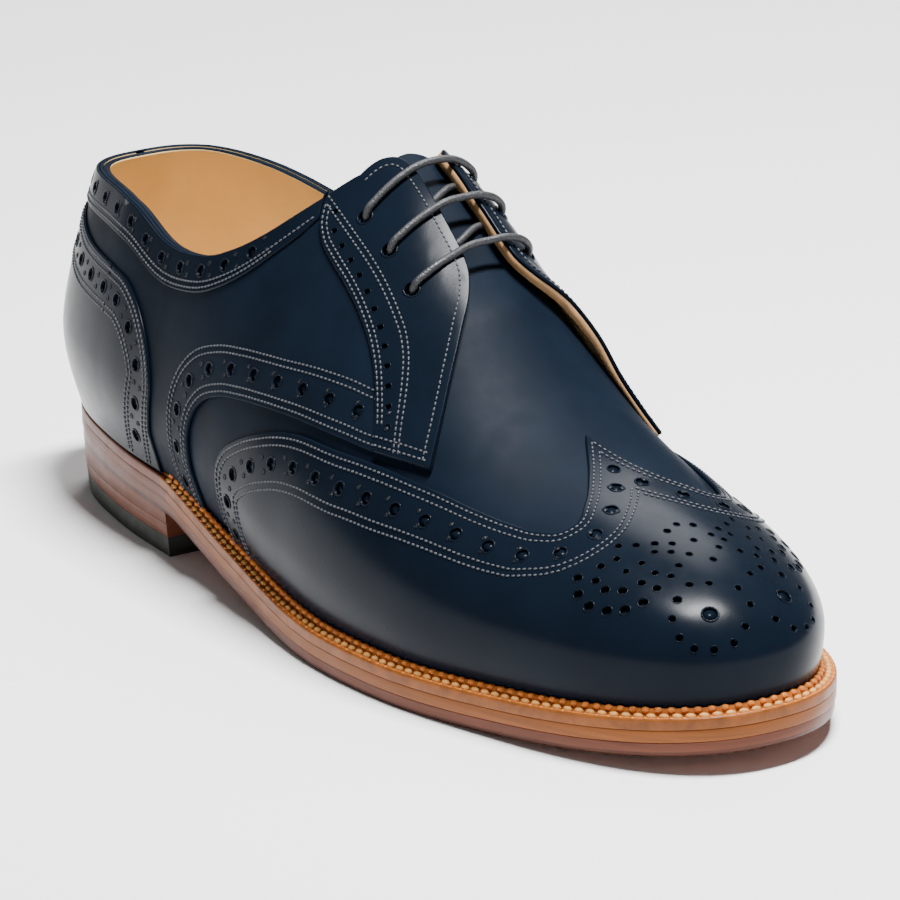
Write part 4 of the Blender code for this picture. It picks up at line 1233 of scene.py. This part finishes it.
def scatter_tree(name, sizes, shape):
    """Tree that puts one small shape on every point, turned to the attributes along and outward."""
    tree = bpy.data.node_groups.new(name, "GeometryNodeTree")
    tree.interface.new_socket("Geometry", in_out="INPUT", socket_type="NodeSocketGeometry")
    for label in sizes:
        tree.interface.new_socket(label, in_out="INPUT", socket_type="NodeSocketFloat")
    tree.interface.new_socket("Finish", in_out="INPUT", socket_type="NodeSocketMaterial")
    tree.interface.new_socket("Geometry", in_out="OUTPUT", socket_type="NodeSocketGeometry")
    start, end = tree.nodes.new("NodeGroupInput"), tree.nodes.new("NodeGroupOutput")

    def named(label, kind):
        node = add(tree, "GeometryNodeInputNamedAttribute", {"Name": label}, data_type=kind)
        return node.outputs["Attribute"]

    stand = add(tree, "FunctionNodeAlignRotationToVector",
                {"Vector": named("outward", "FLOAT_VECTOR")}, axis="Z")
    turn = add(tree, "FunctionNodeAlignRotationToVector",
               {"Rotation": stand.outputs["Rotation"], "Vector": named("along", "FLOAT_VECTOR")},
               axis="X", pivot_axis="Z")
    place = add(tree, "GeometryNodeInstanceOnPoints", {
        "Points": start.outputs["Geometry"], "Instance": shape(tree, start),
        "Rotation": turn.outputs["Rotation"], "Scale": named("size", "FLOAT"),
    })
    real = add(tree, "GeometryNodeRealizeInstances", {"Geometry": place.outputs["Instances"]})
    soft = add(tree, "GeometryNodeSetShadeSmooth", {"Geometry": real.outputs["Geometry"]})
    finish = add(tree, "GeometryNodeSetMaterial",
                 {"Geometry": soft.outputs["Geometry"], "Material": start.outputs["Finish"]})
    tree.links.new(finish.outputs["Geometry"], end.inputs["Geometry"])
    return tree


BEAD_SIZES = ("Half Length", "Half Width", "Half Height")


def bead_shape(tree, start):
    """Stitch: a short rounded bead."""
    ball = add(tree, "GeometryNodeMeshUVSphere", {"Segments": 6, "Rings": 4, "Radius": 1.0})
    scale = add(tree, "ShaderNodeCombineXYZ",
                {axis: start.outputs[label] for axis, label in zip("XYZ", BEAD_SIZES)})
    move = add(tree, "GeometryNodeTransform",
               {"Geometry": ball.outputs["Mesh"], "Scale": scale.outputs["Vector"]})
    return move.outputs["Geometry"]


def lip_shape(tree, start):
    """Lip of a pinhole: a thin ring."""
    ring, wire = (
        add(tree, "GeometryNodeCurvePrimitiveCircle", {"Resolution": corners, "Radius": start.outputs[label]})
        for label, corners in (("Radius", 14), ("Lip", 6))
    )
    sweep = add(tree, "GeometryNodeCurveToMesh",
                {"Curve": ring.outputs["Curve"], "Profile Curve": wire.outputs["Curve"]})
    return sweep.outputs["Mesh"]


def floor_shape(tree, start):
    """Floor of a hole: a low drum."""
    radius, depth = start.outputs["Radius"], start.outputs["Depth"]
    drum = add(tree, "GeometryNodeMeshCone",
               {"Vertices": 12, "Radius Bottom": radius, "Radius Top": radius, "Depth": depth})
    return drum.outputs["Mesh"]


def scatter(name, points, along, outward, size, tree, values, finish, slot):
    """Repeated shapes as one plain mesh."""
    mesh = bpy.data.meshes.new(name)
    mesh.from_pydata([tuple(p) for p in (points - ORIGIN) * MM], [], [])
    for label, data in (("along", along), ("outward", outward)):
        attribute = mesh.attributes.new(label, "FLOAT_VECTOR", "POINT")
        attribute.data.foreach_set("vector", np.ravel(data).astype(float))
    mesh.attributes.new("size", "FLOAT", "POINT").data.foreach_set("value", np.ravel(size).astype(float))
    obj = bpy.data.objects.new(name, mesh)
    bpy.context.scene.collection.objects.link(obj)
    modifier = obj.modifiers.new("repeat", "NODES")
    modifier.node_group = tree
    known = {item.name: item.identifier for item in tree.interface.items_tree if item.in_out == "INPUT"}
    for label, value in values.items():
        modifier[known[label]] = value
    modifier[known["Finish"]] = finish
    ready = obj.evaluated_get(bpy.context.evaluated_depsgraph_get())
    result = bpy.data.meshes.new_from_object(ready)
    obj.modifiers.clear()
    obj.data = result
    bpy.data.meshes.remove(mesh)
    result.name = name
    if not result.polygons:
        raise RuntimeError("no repeats were made for " + name)
    return ride(obj, slot)


def placed(flat, along, lift):
    """Points, directions and normals on the panels for points of the flat pattern."""
    high = surface_height(flat)
    normal = last_normal(*columns(flat))
    base = on_last(*columns(flat))
    forward = on_last(*columns(flat + along * 0.5)) - base
    return base + normal * (high + lift)[:, None], unit(forward), normal


# Stitches: free start of a row, room to the panel's edge, to the ridge and to panels on top, lift.
ROW_START, ROW_ROOM, RIDGE_ROOM, COVER_ROOM, THREAD_LIFT = 0.4, 0.75, 0.2, 0.4, 0.08
# Half length of a stitch in pitches and half height in thread widths.
STITCH_SHARE, THREAD_SHARE = 0.42, 0.45


class DERBY_OT_stitches(bpy.types.Operator):
    """Rows of thread along the bands of the panels"""
    bl_idname = "derby.stitches"
    bl_label = "Stitches"

    def execute(self, context):
        sizes = context.scene.derby_sizes
        pitch = sizes.stitch_pitch / MM
        tree = scatter_tree("stitch_rows", BEAD_SIZES, bead_shape)
        flats, alongs = [], []
        for line, panel, side, clear in gather_brogueing().rows:
            flat, along = spaced(line, pitch, ROW_START)
            keep = inside(flat, ring_of(panel), ROW_ROOM)
            if side:
                keep &= flat[:, 1] * side > RIDGE_ROOM
            for other in clear:
                keep &= ~inside(flat, ring_of(other), -COVER_ROOM)
            flats.append(flat[keep])
            alongs.append(along[keep])
        flat, along = np.concatenate(flats), np.concatenate(alongs)
        wide = sizes.thread_width
        values = dict(zip(BEAD_SIZES, (sizes.stitch_pitch * STITCH_SHARE, wide / 2, wide * THREAD_SHARE)))
        scatter("stitching", *placed(flat, along, THREAD_LIFT), np.ones(len(flat)), tree, values,
                materials()["thread"], "upper_leather")
        return {"FINISHED"}


# Radii of the holes that get a floor; eyelets and the smallest holes have none.
FLOOR_FROM, FLOOR_TO = 1.35, 1.95
# Least height of a panel that can carry a pinhole.
PANEL_LEAST = 0.5


class DERBY_OT_punches(bpy.types.Operator):
    """Lips and floors of the punched holes and of the pinholes; the pinholes' floors are dark discs of
    painted shade
    """
    bl_idname = "derby.punches"
    bl_label = "Pinholes and hole floors"

    def execute(self, context):
        pinhole = context.scene.derby_sizes.pinhole
        made = materials()
        pins = np.array(gather_brogueing().pins)
        pins = pins[surface_height(pins) > PANEL_LEAST]
        big = np.array(PUNCHED)
        wide = big[(big[:, 2] > FLOOR_FROM) & (big[:, 2] < FLOOR_TO)]
        lips = scatter_tree("pinhole_lips", ("Radius", "Lip"), lip_shape)
        floors = scatter_tree("hole_floors", ("Radius", "Depth"), floor_shape)
        alike = np.ones(len(pins))
        # Repeats: name, places, lift, size, tree, the tree's values, finish.
        for name, spots, lift, grown, tree, values, finish in (
            ("pinhole_lips", pins, 0.0, alike, lips, {"Radius": pinhole / 2, "Lip": pinhole * 0.13}, "upper"),
            ("hole_lips", big, -0.05, big[:, 2] + 0.2, lips, {"Radius": MM, "Lip": 0.14 * MM}, "upper"),
            ("hole_floors", wide, -0.55, wide[:, 2], floors, {"Radius": MM, "Depth": 0.05 * MM}, "upper"),
            # Dark drums in the pinholes: painted shade where the holes would be deep.
            ("pinhole_floors", pins, 0.0, alike, floors, {"Radius": pinhole / 2, "Depth": 0.06 * MM}, "hole"),
        ):
            along = np.tile([1.0, 0.0], (len(spots), 1))
            place = placed(spots[:, :2], along, lift)
            scatter(name, *place, grown, tree, values, made[finish], "upper_leather")
        return {"FINISHED"}


# Sole, heel and laces

SHARP_ANGLE = math.radians(50)


def sole_loop(inset, height, count):
    """Closed loop round the sole; inset and height are functions of the side's stations."""
    q = (1 - np.cos(np.linspace(0, np.pi, count))) / 2
    q = np.linspace(0, 1, count) * 0.5 + q * 0.5
    lateral, medial = (inset_by(q, side, inset(q, side)) for side in SIDES)
    loop = np.concatenate([lateral, medial[::-1][1:-1]])
    return np.column_stack([loop, height(loop[:, 0])])


def loft(name, loops, finishes, slots, close):
    """Skin over loops; close joins the last loop to the first, otherwise both ends are capped."""
    n = len(loops[0])
    faces, index = [], []
    pairs = list(zip(range(len(loops)), list(range(1, len(loops))) + [0]))
    for number, (a, b) in enumerate(pairs if close else pairs[:-1]):
        for k in range(n):
            m = (k + 1) % n
            faces.append((a * n + k, a * n + m, b * n + m, b * n + k))
            index.append(slots[number])
    if not close:
        half = n // 2
        for ring, flip in ((0, True), (len(loops) - 1, False)):
            for k in range(half):
                a, b, c, d = k, k + 1, (n - k - 1) % n, (n - k) % n
                face = [ring * n + v for v in dict.fromkeys((a, b, c, d))]
                if len(face) > 2:
                    faces.append(tuple(face[::-1] if flip else face))
                    index.append(slots[-1])
    mesh_object = link(name, np.concatenate(loops), faces, finishes, index)
    face_outwards(mesh_object.data)
    mesh_object.data.set_sharp_from_angle(angle=SHARP_ANGLE)
    return mesh_object


def above(offset):
    return lambda x: underside(x) + offset


def paint_behind(obj, x, finish):
    """Gives the faces of the heel seat their own finish."""
    obj.data.materials.append(finish)
    number = len(obj.data.materials) - 1
    limit = (x - ORIGIN[0]) * MM
    for face in obj.data.polygons:
        if face.center.x < limit:
            face.material_index = number


def even(inset):
    return lambda q, side: np.full(np.shape(q), float(inset))


def square_at_heel(inset):
    """Inset of the outsole's edge, which is rounded underneath only in front of the heel."""
    if not SQUARE_EDGE < inset < CORE_INSET:
        return even(inset)

    def rounded(q, side):
        ahead = (outline(q, side)[..., 0] - X_BREAST) / SQUARE_RUN
        return SQUARE_EDGE + (inset - SQUARE_EDGE) * np.clip(ahead, 0, 1)
    return rounded


def welt_share(share, extra=0.0):
    return lambda q, side: curve(WELT_ROWS, 1, outline(q, side)[..., 0]) * share + extra


WELT_START = 84.0
# Front of the heel seat's finish on the welt and on the midsole.
SEAT_FRONT, SEAT_FRONT_BELOW = WELT_START - 4.0, X_BREAST + 2.0
WELT_TOP, RIDGE_HEIGHT, RIDGE_START, RIDGE_RUN = 10.0, 1.7, 70, 35
WELT_TUCK = 2.4
CORE_INSET, SQUARE_EDGE, SQUARE_RUN = 9.0, 0.34, 4
SOLE_COUNT, WELT_COUNT = 150, 1200
# Midsole and outsole from below: inset, height above the underside.
MIDSOLE_ROWS = (
    (CORE_INSET, 3.75), (0.3, 3.75), (0.12, 3.8), (0.06, 3.95), (0.04, 6.7), (0.1, 6.85), (0.3, 6.9),
    (CORE_INSET, 6.9),
)
OUTSOLE_ROWS = (
    (CORE_INSET, 0.0), (1.6, 0.0), (0.9, 0.15), (0.6, 0.6), (0.45, 1.2), (0.3, 3.4), (0.34, 3.6), (0.5, 3.7),
    (CORE_INSET, 3.7),
)
OUTSOLE_SLOTS = (2, 1, 1, 1, 0, 0, 0, 0, 2)


def ridge(share):
    """Height of the raised inner ridge of the welt, gone at the heel."""
    return lambda x: (underside(x) + WELT_TOP
                      + share * RIDGE_HEIGHT * np.clip((x - RIDGE_START) / RIDGE_RUN, 0, 1))


class DERBY_OT_sole(bpy.types.Operator):
    """Welt with its raised ridge, midsole and outsole"""
    bl_idname = "derby.sole"
    bl_label = "Welt and soles"

    def execute(self, context):
        made = materials()
        # Section of the welt, from its lower inner corner outwards and back: inset, height.
        rows = [
            (welt_share(1.0, WELT_TUCK), above(6.95)), (even(0.25), above(6.95)), (even(0.06), above(7.0)),
            (even(0.0), above(7.2)), (even(0.0), above(9.3)), (even(0.12), above(9.75)),
            (even(0.45), above(WELT_TOP)), (welt_share(0.22), above(WELT_TOP)),
            (welt_share(0.29), above(9.7)), (welt_share(0.45), above(9.7)), (welt_share(0.51), ridge(0.2)),
            (welt_share(0.56), ridge(0.75)), (welt_share(0.63), ridge(1.0)), (welt_share(0.72), ridge(0.95)),
            (welt_share(0.80), ridge(0.6)), (welt_share(0.92), ridge(0.0)),
            (welt_share(1.0, WELT_TUCK), above(WELT_TOP)),
        ]
        loops = [sole_loop(inset, height, SOLE_COUNT) for inset, height in rows]
        edge = [0, 1, 1, 1, 1, 1] + [0] * 11
        welt = loft("welt_strip", loops, [made["welt"], made["welt_edge"]], edge, True)
        paint_behind(welt, SEAT_FRONT, made["stack"])
        ride(welt, "welt_leather", "welt")
        loops = [sole_loop(even(a), above(b), SOLE_COUNT) for a, b in MIDSOLE_ROWS]
        midsole = loft("midsole_plate", loops, [made["edge_light"]], [0] * len(loops), False)
        paint_behind(midsole, SEAT_FRONT_BELOW, made["stack"])
        ride(midsole, "outsole_leather", "midsole")
        loops = [sole_loop(square_at_heel(a), above(b), SOLE_COUNT) for a, b in OUTSOLE_ROWS]
        finishes = [made["edge"], made["edge_dark"], made["tread"]]
        outsole = loft("outsole_plate", loops, finishes, OUTSOLE_SLOTS, False)
        ride(outsole, "outsole_leather", "outsole")
        return {"FINISHED"}


class DERBY_OT_welt_stitches(bpy.types.Operator):
    """Thread along the welt, the bumps of its ridge and the ticks pressed at its edge"""
    bl_idname = "derby.welt_stitches"
    bl_label = "Welt stitches"

    def execute(self, context):
        sizes = context.scene.derby_sizes
        made = materials()
        pitch = sizes.welt_pitch / MM
        # Rows: name, share of the welt's width, height, half sizes of a bead, finish.
        for name, share, height, values, finish in (
            ("welt_stitching", 0.34, 9.95, (0.45 * pitch, 0.95, 0.95), made["welt_thread"]),
            # The ridge's bumps and the edge's ticks take the lighter welt finish, which paints a highlight on
            # them.
            ("welt_ridge_bumps", 0.63, 11.2, (0.40 * pitch, 1.05, 0.95), made["welt_bump"]),
            ("welt_ticks", 0.12, 9.98, (0.2 * pitch, 0.5, 0.25), made["welt_bump"]),
        ):
            q = np.linspace(0, 1, WELT_COUNT)
            parts = []
            for side in SIDES:
                flat = inset_by(q, side, welt_share(share)(q, side))
                keep = outline(q, side)[..., 0] > WELT_START
                parts.append(flat[keep] if side == LATERAL else flat[keep][::-1])
            line = np.concatenate(parts)
            line = np.column_stack([line, underside(line[:, 0]) + height])
            run = run_along(line)
            at = np.arange(0, run[-1], pitch)
            points = points_at(at, run, line)
            along = points_at(at + 0.5, run, line) - points
            along[-1] = along[-2]
            up = np.tile([0.0, 0.0, 1.0], (len(points), 1))
            tree = scatter_tree(name, BEAD_SIZES, bead_shape)
            sized = {label: value * MM for label, value in zip(BEAD_SIZES, values)}
            scatter(name, points, unit(along), up, np.ones(len(points)), tree, sized, finish, "welt_leather")
        return {"FINISHED"}


HEEL_TAPER, HEEL_INSET, LIFT_GAP = 1.2 / HEEL_HEIGHT, 0.4, 0.06
HEEL_COUNT, HEEL_CROWDING = 60, 1.6
# Rounded edges of a lift: inset, share of the height.
LIFT_ROWS = (
    (3.0, 0.0), (0.1, 0.0), (0.03, 0.01), (0.0, 0.04), (0.0, 0.5), (0.0, 0.96), (0.03, 0.99), (0.1, 1.0),
    (3.0, 1.0),
)


class DERBY_OT_heel(bpy.types.Operator):
    """Stacked leather lifts and rubber top piece"""
    bl_idname = "derby.heel"
    bl_label = "Heel"

    def execute(self, context):
        made = materials()
        # Layers: name, lower and upper height, finish, slot, node; the last one reaches up to the outsole.
        layers = (
            ("heel_rubber_top_piece", 0.0, 5.5, "rubber", "heel_rubber", "heel_top_piece"),
            ("heel_lower_lift", 5.55, 9.4, "stack", "outsole_leather", "heel_lift_1"),
            ("heel_upper_lift", 9.44, None, "stack", "outsole_leather", "heel_lift_2"),
        )
        for name, low, high, finish, slot, node in layers:
            loops = [self.loop(extra, low, high, share) for extra, share in LIFT_ROWS]
            part = loft(name, loops, [made[finish]], [0] * len(loops), False)
            ride(part, slot, node)
        return {"FINISHED"}

    def loop(self, extra, low, high, share):
        """Horseshoe of the heel with a straight breast."""
        q = np.linspace(0, 1, HEEL_COUNT) ** HEEL_CROWDING * q_at_edge(X_BREAST)
        level = low + ((high if high is not None else HEEL_HEIGHT) - low) * share
        inset = HEEL_INSET + (HEEL_HEIGHT - level) * HEEL_TAPER + extra
        lateral, medial = (inset_by(q, side, np.full(len(q), inset)) for side in SIDES)
        for line in (lateral, medial):
            line[:, 0] = np.minimum(line[:, 0], X_BREAST - extra)
        loop = np.concatenate([lateral, medial[::-1][:-1]])
        top = underside(loop[:, 0]) - LIFT_GAP if high is None else np.full(len(loop), high)
        return np.column_stack([loop, low + (top - low) * share])


def q_at_edge(x):
    return math.acos(1 - 2 * (x - SOLE_BACK) / (SOLE_FRONT - SOLE_BACK)) / math.pi


class DERBY_OT_insole(bpy.types.Operator):
    """Leather sock lining on the insole"""
    bl_idname = "derby.insole"
    bl_label = "Insole"

    def execute(self, context):
        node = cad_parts["insole"]
        node.data.materials.clear()
        node.data.materials.append(materials()["sock"])
        return {"FINISHED"}


LACE_SPARE, LACE_STEP, LACE_SIDES = 0.35, 0.7, 12


class DERBY_OT_laces(bpy.types.Operator):
    """Waxed lace run through the eyelets in straight bars"""
    bl_idname = "derby.laces"
    bl_label = "Laces"

    def execute(self, context):
        radius = context.scene.derby_sizes.lace_width / MM / 2
        # Points of the path: x, y, height above the last.
        path = []
        for number, (x, outer, inner) in enumerate(EYELETS):
            spare = LACE_SPARE * number
            path += [
                (x + 0.2, -outer, -0.2), (x + 0.1, -outer, 1.2), (x, -outer + 1.8, 3.0),
                (x, -outer + 5.0, 3.2), (x, -9.0, 3.3), (x, -5.5, 3.3 + spare), (x, 0.0, 3.0 + spare),
                (x, 5.0, 3.6 + 2 * spare), (x, inner - 4.0, 3.7 + 2 * spare), (x, inner - 1.6, 3.4 + spare),
                (x, inner, 2.2), (x, inner + 0.1, 0.3),
            ]
            if number + 1 < len(EYELETS):
                ahead, across, _ = EYELETS[number + 1]
                path += [(x + 2.5, inner - 2.5, -0.6), (x + 5.0, 3.0, -1.6), (x + 7.5, -4.0, -1.6),
                         (ahead - 2.0, -across + 8.0, -1.0), (ahead - 0.3, -across + 2.5, -0.6)]
        # The last end runs back under the inner facing and stops at the top eyelet.
        path += [(x - 2.0, inner + 1.6, -0.3)]
        path += [(x - 1.0, inner + 2.4, -0.5) for x, _, inner in EYELETS[-2:0:-1]]
        path += [(x + 0.4, inner + 2.4, -0.5) for x, _, inner in EYELETS[:1]]
        flat = np.array([(x, y) for x, y, _ in path])
        lifts = np.array([h for _, _, h in path])
        line = smooth_line(skin(flat, lambda x, y: lifts), LACE_STEP)
        lace = link("lace", *tube(line, radius, LACE_SIDES), [materials()["lace"]])
        face_outwards(lace.data)
        ride(lace, "lace_cotton", "lace_bar_top", "lace_bar_middle", "lace_bar_bottom")
        return {"FINISHED"}


# Stage

VIEW_AZIMUTH, VIEW_ELEVATION, VIEW_ROLL = math.radians(56.97), math.radians(18.29), math.radians(-0.83)
VIEW_DISTANCE = 1821.27
VIEW_TARGET = np.array([150.0, 0.0, 40.0])
FRAME_SHARE = 0.86
SENSOR = 36.0
VIEW_SAMPLES = 4000
WHITE = (1.0, 1.0, 1.0)
WORLD_STRENGTH = 0.17


def light(name, place, target, size, power):
    """White soft light, aimed at a point."""
    data = bpy.data.lights.new(name, "AREA")
    data.shape = "RECTANGLE"
    data.size, data.size_y = size
    data.energy = power
    data.color = WHITE
    obj = bpy.data.objects.new(name, data)
    obj.location = place
    obj.rotation_euler = (Vector(target) - Vector(place)).to_track_quat("-Z", "Y").to_euler()
    bpy.context.scene.collection.objects.link(obj)
    return obj


class DERBY_OT_stage(bpy.types.Operator):
    """Pale floor, soft lights and the camera"""
    bl_idname = "derby.stage"
    bl_label = "Stage"

    def execute(self, context):
        self.floor(context)
        self.lights(context)
        self.camera(context)
        return {"FINISHED"}

    def floor(self, context):
        """Floor that bends up into a backdrop, square to the camera."""
        half, height, bend, steps = 3.0, 2.4, 0.8, 12
        profile = [(-half, 0.0), (half - bend, 0.0)]
        profile += [(half - bend + bend * math.sin(t), bend - bend * math.cos(t))
                    for t in np.linspace(0, math.pi / 2, steps + 1)[1:]]
        profile.append((half, height))
        turn = Matrix.Rotation(VIEW_AZIMUTH, 3, "Z")
        points = [turn @ Vector((side * half, y, z)) for y, z in profile for side in (-1, 1)]
        mesh = bpy.data.meshes.new("backdrop")
        faces = [(k, k + 1, k + 3, k + 2) for k in range(0, len(points) - 2, 2)]
        mesh.from_pydata([tuple(p) for p in points], [], faces)
        mesh.polygons.foreach_set("use_smooth", [True] * len(mesh.polygons))
        obj = bpy.data.objects.new("backdrop", mesh)
        bpy.context.scene.collection.objects.link(obj)
        material, _, shader = finish_nodes("pale_backdrop")
        shader.inputs["Base Color"].default_value = (*context.scene.derby_colors.floor, 1.0)
        shader.inputs["Roughness"].default_value = 0.9
        shader.inputs["Specular IOR Level"].default_value = 0.2
        mesh.materials.append(material)
        obj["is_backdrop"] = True

    def lights(self, context):
        light("overhead_softbox", (0.19, 0.11, 1.25), (0.19, 0.11, 0.0), (0.165, 0.52), 58.0)
        light("back_softbox", (-0.80, 0.80, 1.30), (0.0, 0.0, 0.05), (0.6, 0.6), 12.0)
        world = bpy.data.worlds.new("studio")
        world.use_nodes = True
        background = world.node_tree.nodes["Background"]
        background.inputs["Color"].default_value = (*WHITE, 1.0)
        background.inputs["Strength"].default_value = WORLD_STRENGTH
        context.scene.world = world

    def camera(self, context):
        """Camera at the photo's angle, aimed at the middle of the part and zoomed to fill the frame."""
        az, el = VIEW_AZIMUTH, VIEW_ELEVATION
        back = np.array([math.sin(az) * math.cos(el), -math.cos(az) * math.cos(el), math.sin(el)])
        place = VIEW_TARGET + back * VIEW_DISTANCE - ORIGIN
        aim = VIEW_TARGET - ORIGIN
        corners = np.array([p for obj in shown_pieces() for p in self.points(obj)]) / MM
        for _ in range(3):
            back = place - aim
            back /= np.linalg.norm(back)
            right = np.cross([0.0, 0.0, 1.0], back)
            right /= np.linalg.norm(right)
            up = np.cross(back, right)
            right, up = (right * math.cos(VIEW_ROLL) + up * math.sin(VIEW_ROLL),
                         up * math.cos(VIEW_ROLL) - right * math.sin(VIEW_ROLL))
            away = corners - place
            depth = -(away @ back)
            across, rise = (away @ right) / depth, (away @ up) / depth
            middle = ((across.max() + across.min()) / 2, (rise.max() + rise.min()) / 2)
            aim = place + (-back + right * middle[0] + up * middle[1]) * VIEW_DISTANCE
        spread = max(np.ptp(across), np.ptp(rise))
        data = bpy.data.cameras.new("camera")
        data.sensor_width = SENSOR
        data.lens = SENSOR * FRAME_SHARE / spread
        data.clip_end = 50.0
        obj = bpy.data.objects.new("camera", data)
        pose = Matrix((right, up, back)).transposed().to_4x4()
        pose.translation = Vector(place * MM)
        obj.matrix_world = pose
        context.scene.collection.objects.link(obj)
        context.scene.camera = obj

    def points(self, obj):
        """Some of a piece's points, enough for its outline."""
        count = len(obj.data.vertices)
        flat = np.empty(count * 3)
        obj.data.vertices.foreach_get("co", flat)
        return flat.reshape(count, 3)[:: max(1, count // VIEW_SAMPLES)]


# Settings, panel and run

def size(name, description, default):
    return bpy.props.FloatProperty(name=name, description=description, default=default, min=0.0,
                                   unit="LENGTH", precision=5)


def color(name, description, default):
    return bpy.props.FloatVectorProperty(name=name, description=description, default=default, subtype="COLOR",
                                         size=3, min=0.0, max=1.0)


class DerbySizes(bpy.types.PropertyGroup):
    """Sizes of the repeated details"""
    stitch_pitch: size("Stitch pitch", "Length of one stitch of the upper", 0.00155)
    thread_width: size("Thread width", "Width of the upper's thread", 0.0006)
    pinhole: size("Pinhole", "Diameter of the small holes of the bands", 0.0013)
    welt_pitch: size("Welt stitch pitch", "Length of one stitch of the welt", 0.0033)
    lace_width: size("Lace width", "Diameter of the lace", 0.0020)


class DerbyColors(bpy.types.PropertyGroup):
    """Colours of the leathers, threads and stage"""
    upper: color("Upper", "Polished leather of the upper", (0.0032, 0.0061, 0.0117))
    lining: color("Lining", "Leather of the lining", (0.95, 0.68, 0.33))
    welt: color("Welt", "Leather of the welt", (0.42, 0.125, 0.022))
    sole_edge: color("Sole edge", "Burnished edge of the sole", (0.125, 0.036, 0.017))
    heel_stack: color("Heel stack", "Leather lifts of the heel", (0.14, 0.046, 0.024))
    rubber: color("Rubber", "Top piece of the heel", (0.022, 0.026, 0.021))
    thread: color("Thread", "Thread of the upper", (0.045, 0.050, 0.061))
    welt_thread: color("Welt thread", "Thread of the welt", (0.62, 0.29, 0.07))
    lace: color("Lace", "Waxed lace", (0.020, 0.021, 0.024))
    floor: color("Floor", "Floor and backdrop", (0.96, 0.96, 0.96))


STEPS = (
    DERBY_OT_upper, DERBY_OT_quarters, DERBY_OT_facings, DERBY_OT_counter, DERBY_OT_wing_cap,
    DERBY_OT_stitches, DERBY_OT_punches, DERBY_OT_sole, DERBY_OT_welt_stitches, DERBY_OT_heel,
    DERBY_OT_insole, DERBY_OT_laces, DERBY_OT_stage,
)


class DERBY_PT_panel(bpy.types.Panel):
    """Steps that build the derby"""
    bl_idname = "DERBY_PT_panel"
    bl_label = "Full brogue derby"
    bl_space_type = "VIEW_3D"
    bl_region_type = "UI"
    bl_category = "Derby"

    def draw(self, context):
        for settings in (context.scene.derby_sizes, context.scene.derby_colors):
            for key in settings.__annotations__:
                self.layout.prop(settings, key)
        for step in STEPS:
            self.layout.operator(step.bl_idname)


CLASSES = (DerbySizes, DerbyColors, *STEPS, DERBY_PT_panel)


def register():
    for item in CLASSES:
        bpy.utils.register_class(item)
    bpy.types.Scene.derby_sizes = bpy.props.PointerProperty(type=DerbySizes)
    bpy.types.Scene.derby_colors = bpy.props.PointerProperty(type=DerbyColors)


def unregister():
    del bpy.types.Scene.derby_sizes
    del bpy.types.Scene.derby_colors
    for item in reversed(CLASSES):
        bpy.utils.unregister_class(item)


def main():
    register()
    for step in STEPS:
        group, name = step.bl_idname.split(".")
        if getattr(getattr(bpy.ops, group), name)() != {"FINISHED"}:
            raise RuntimeError(step.bl_label + " did not finish")


if __name__ == "__main__":
    main()
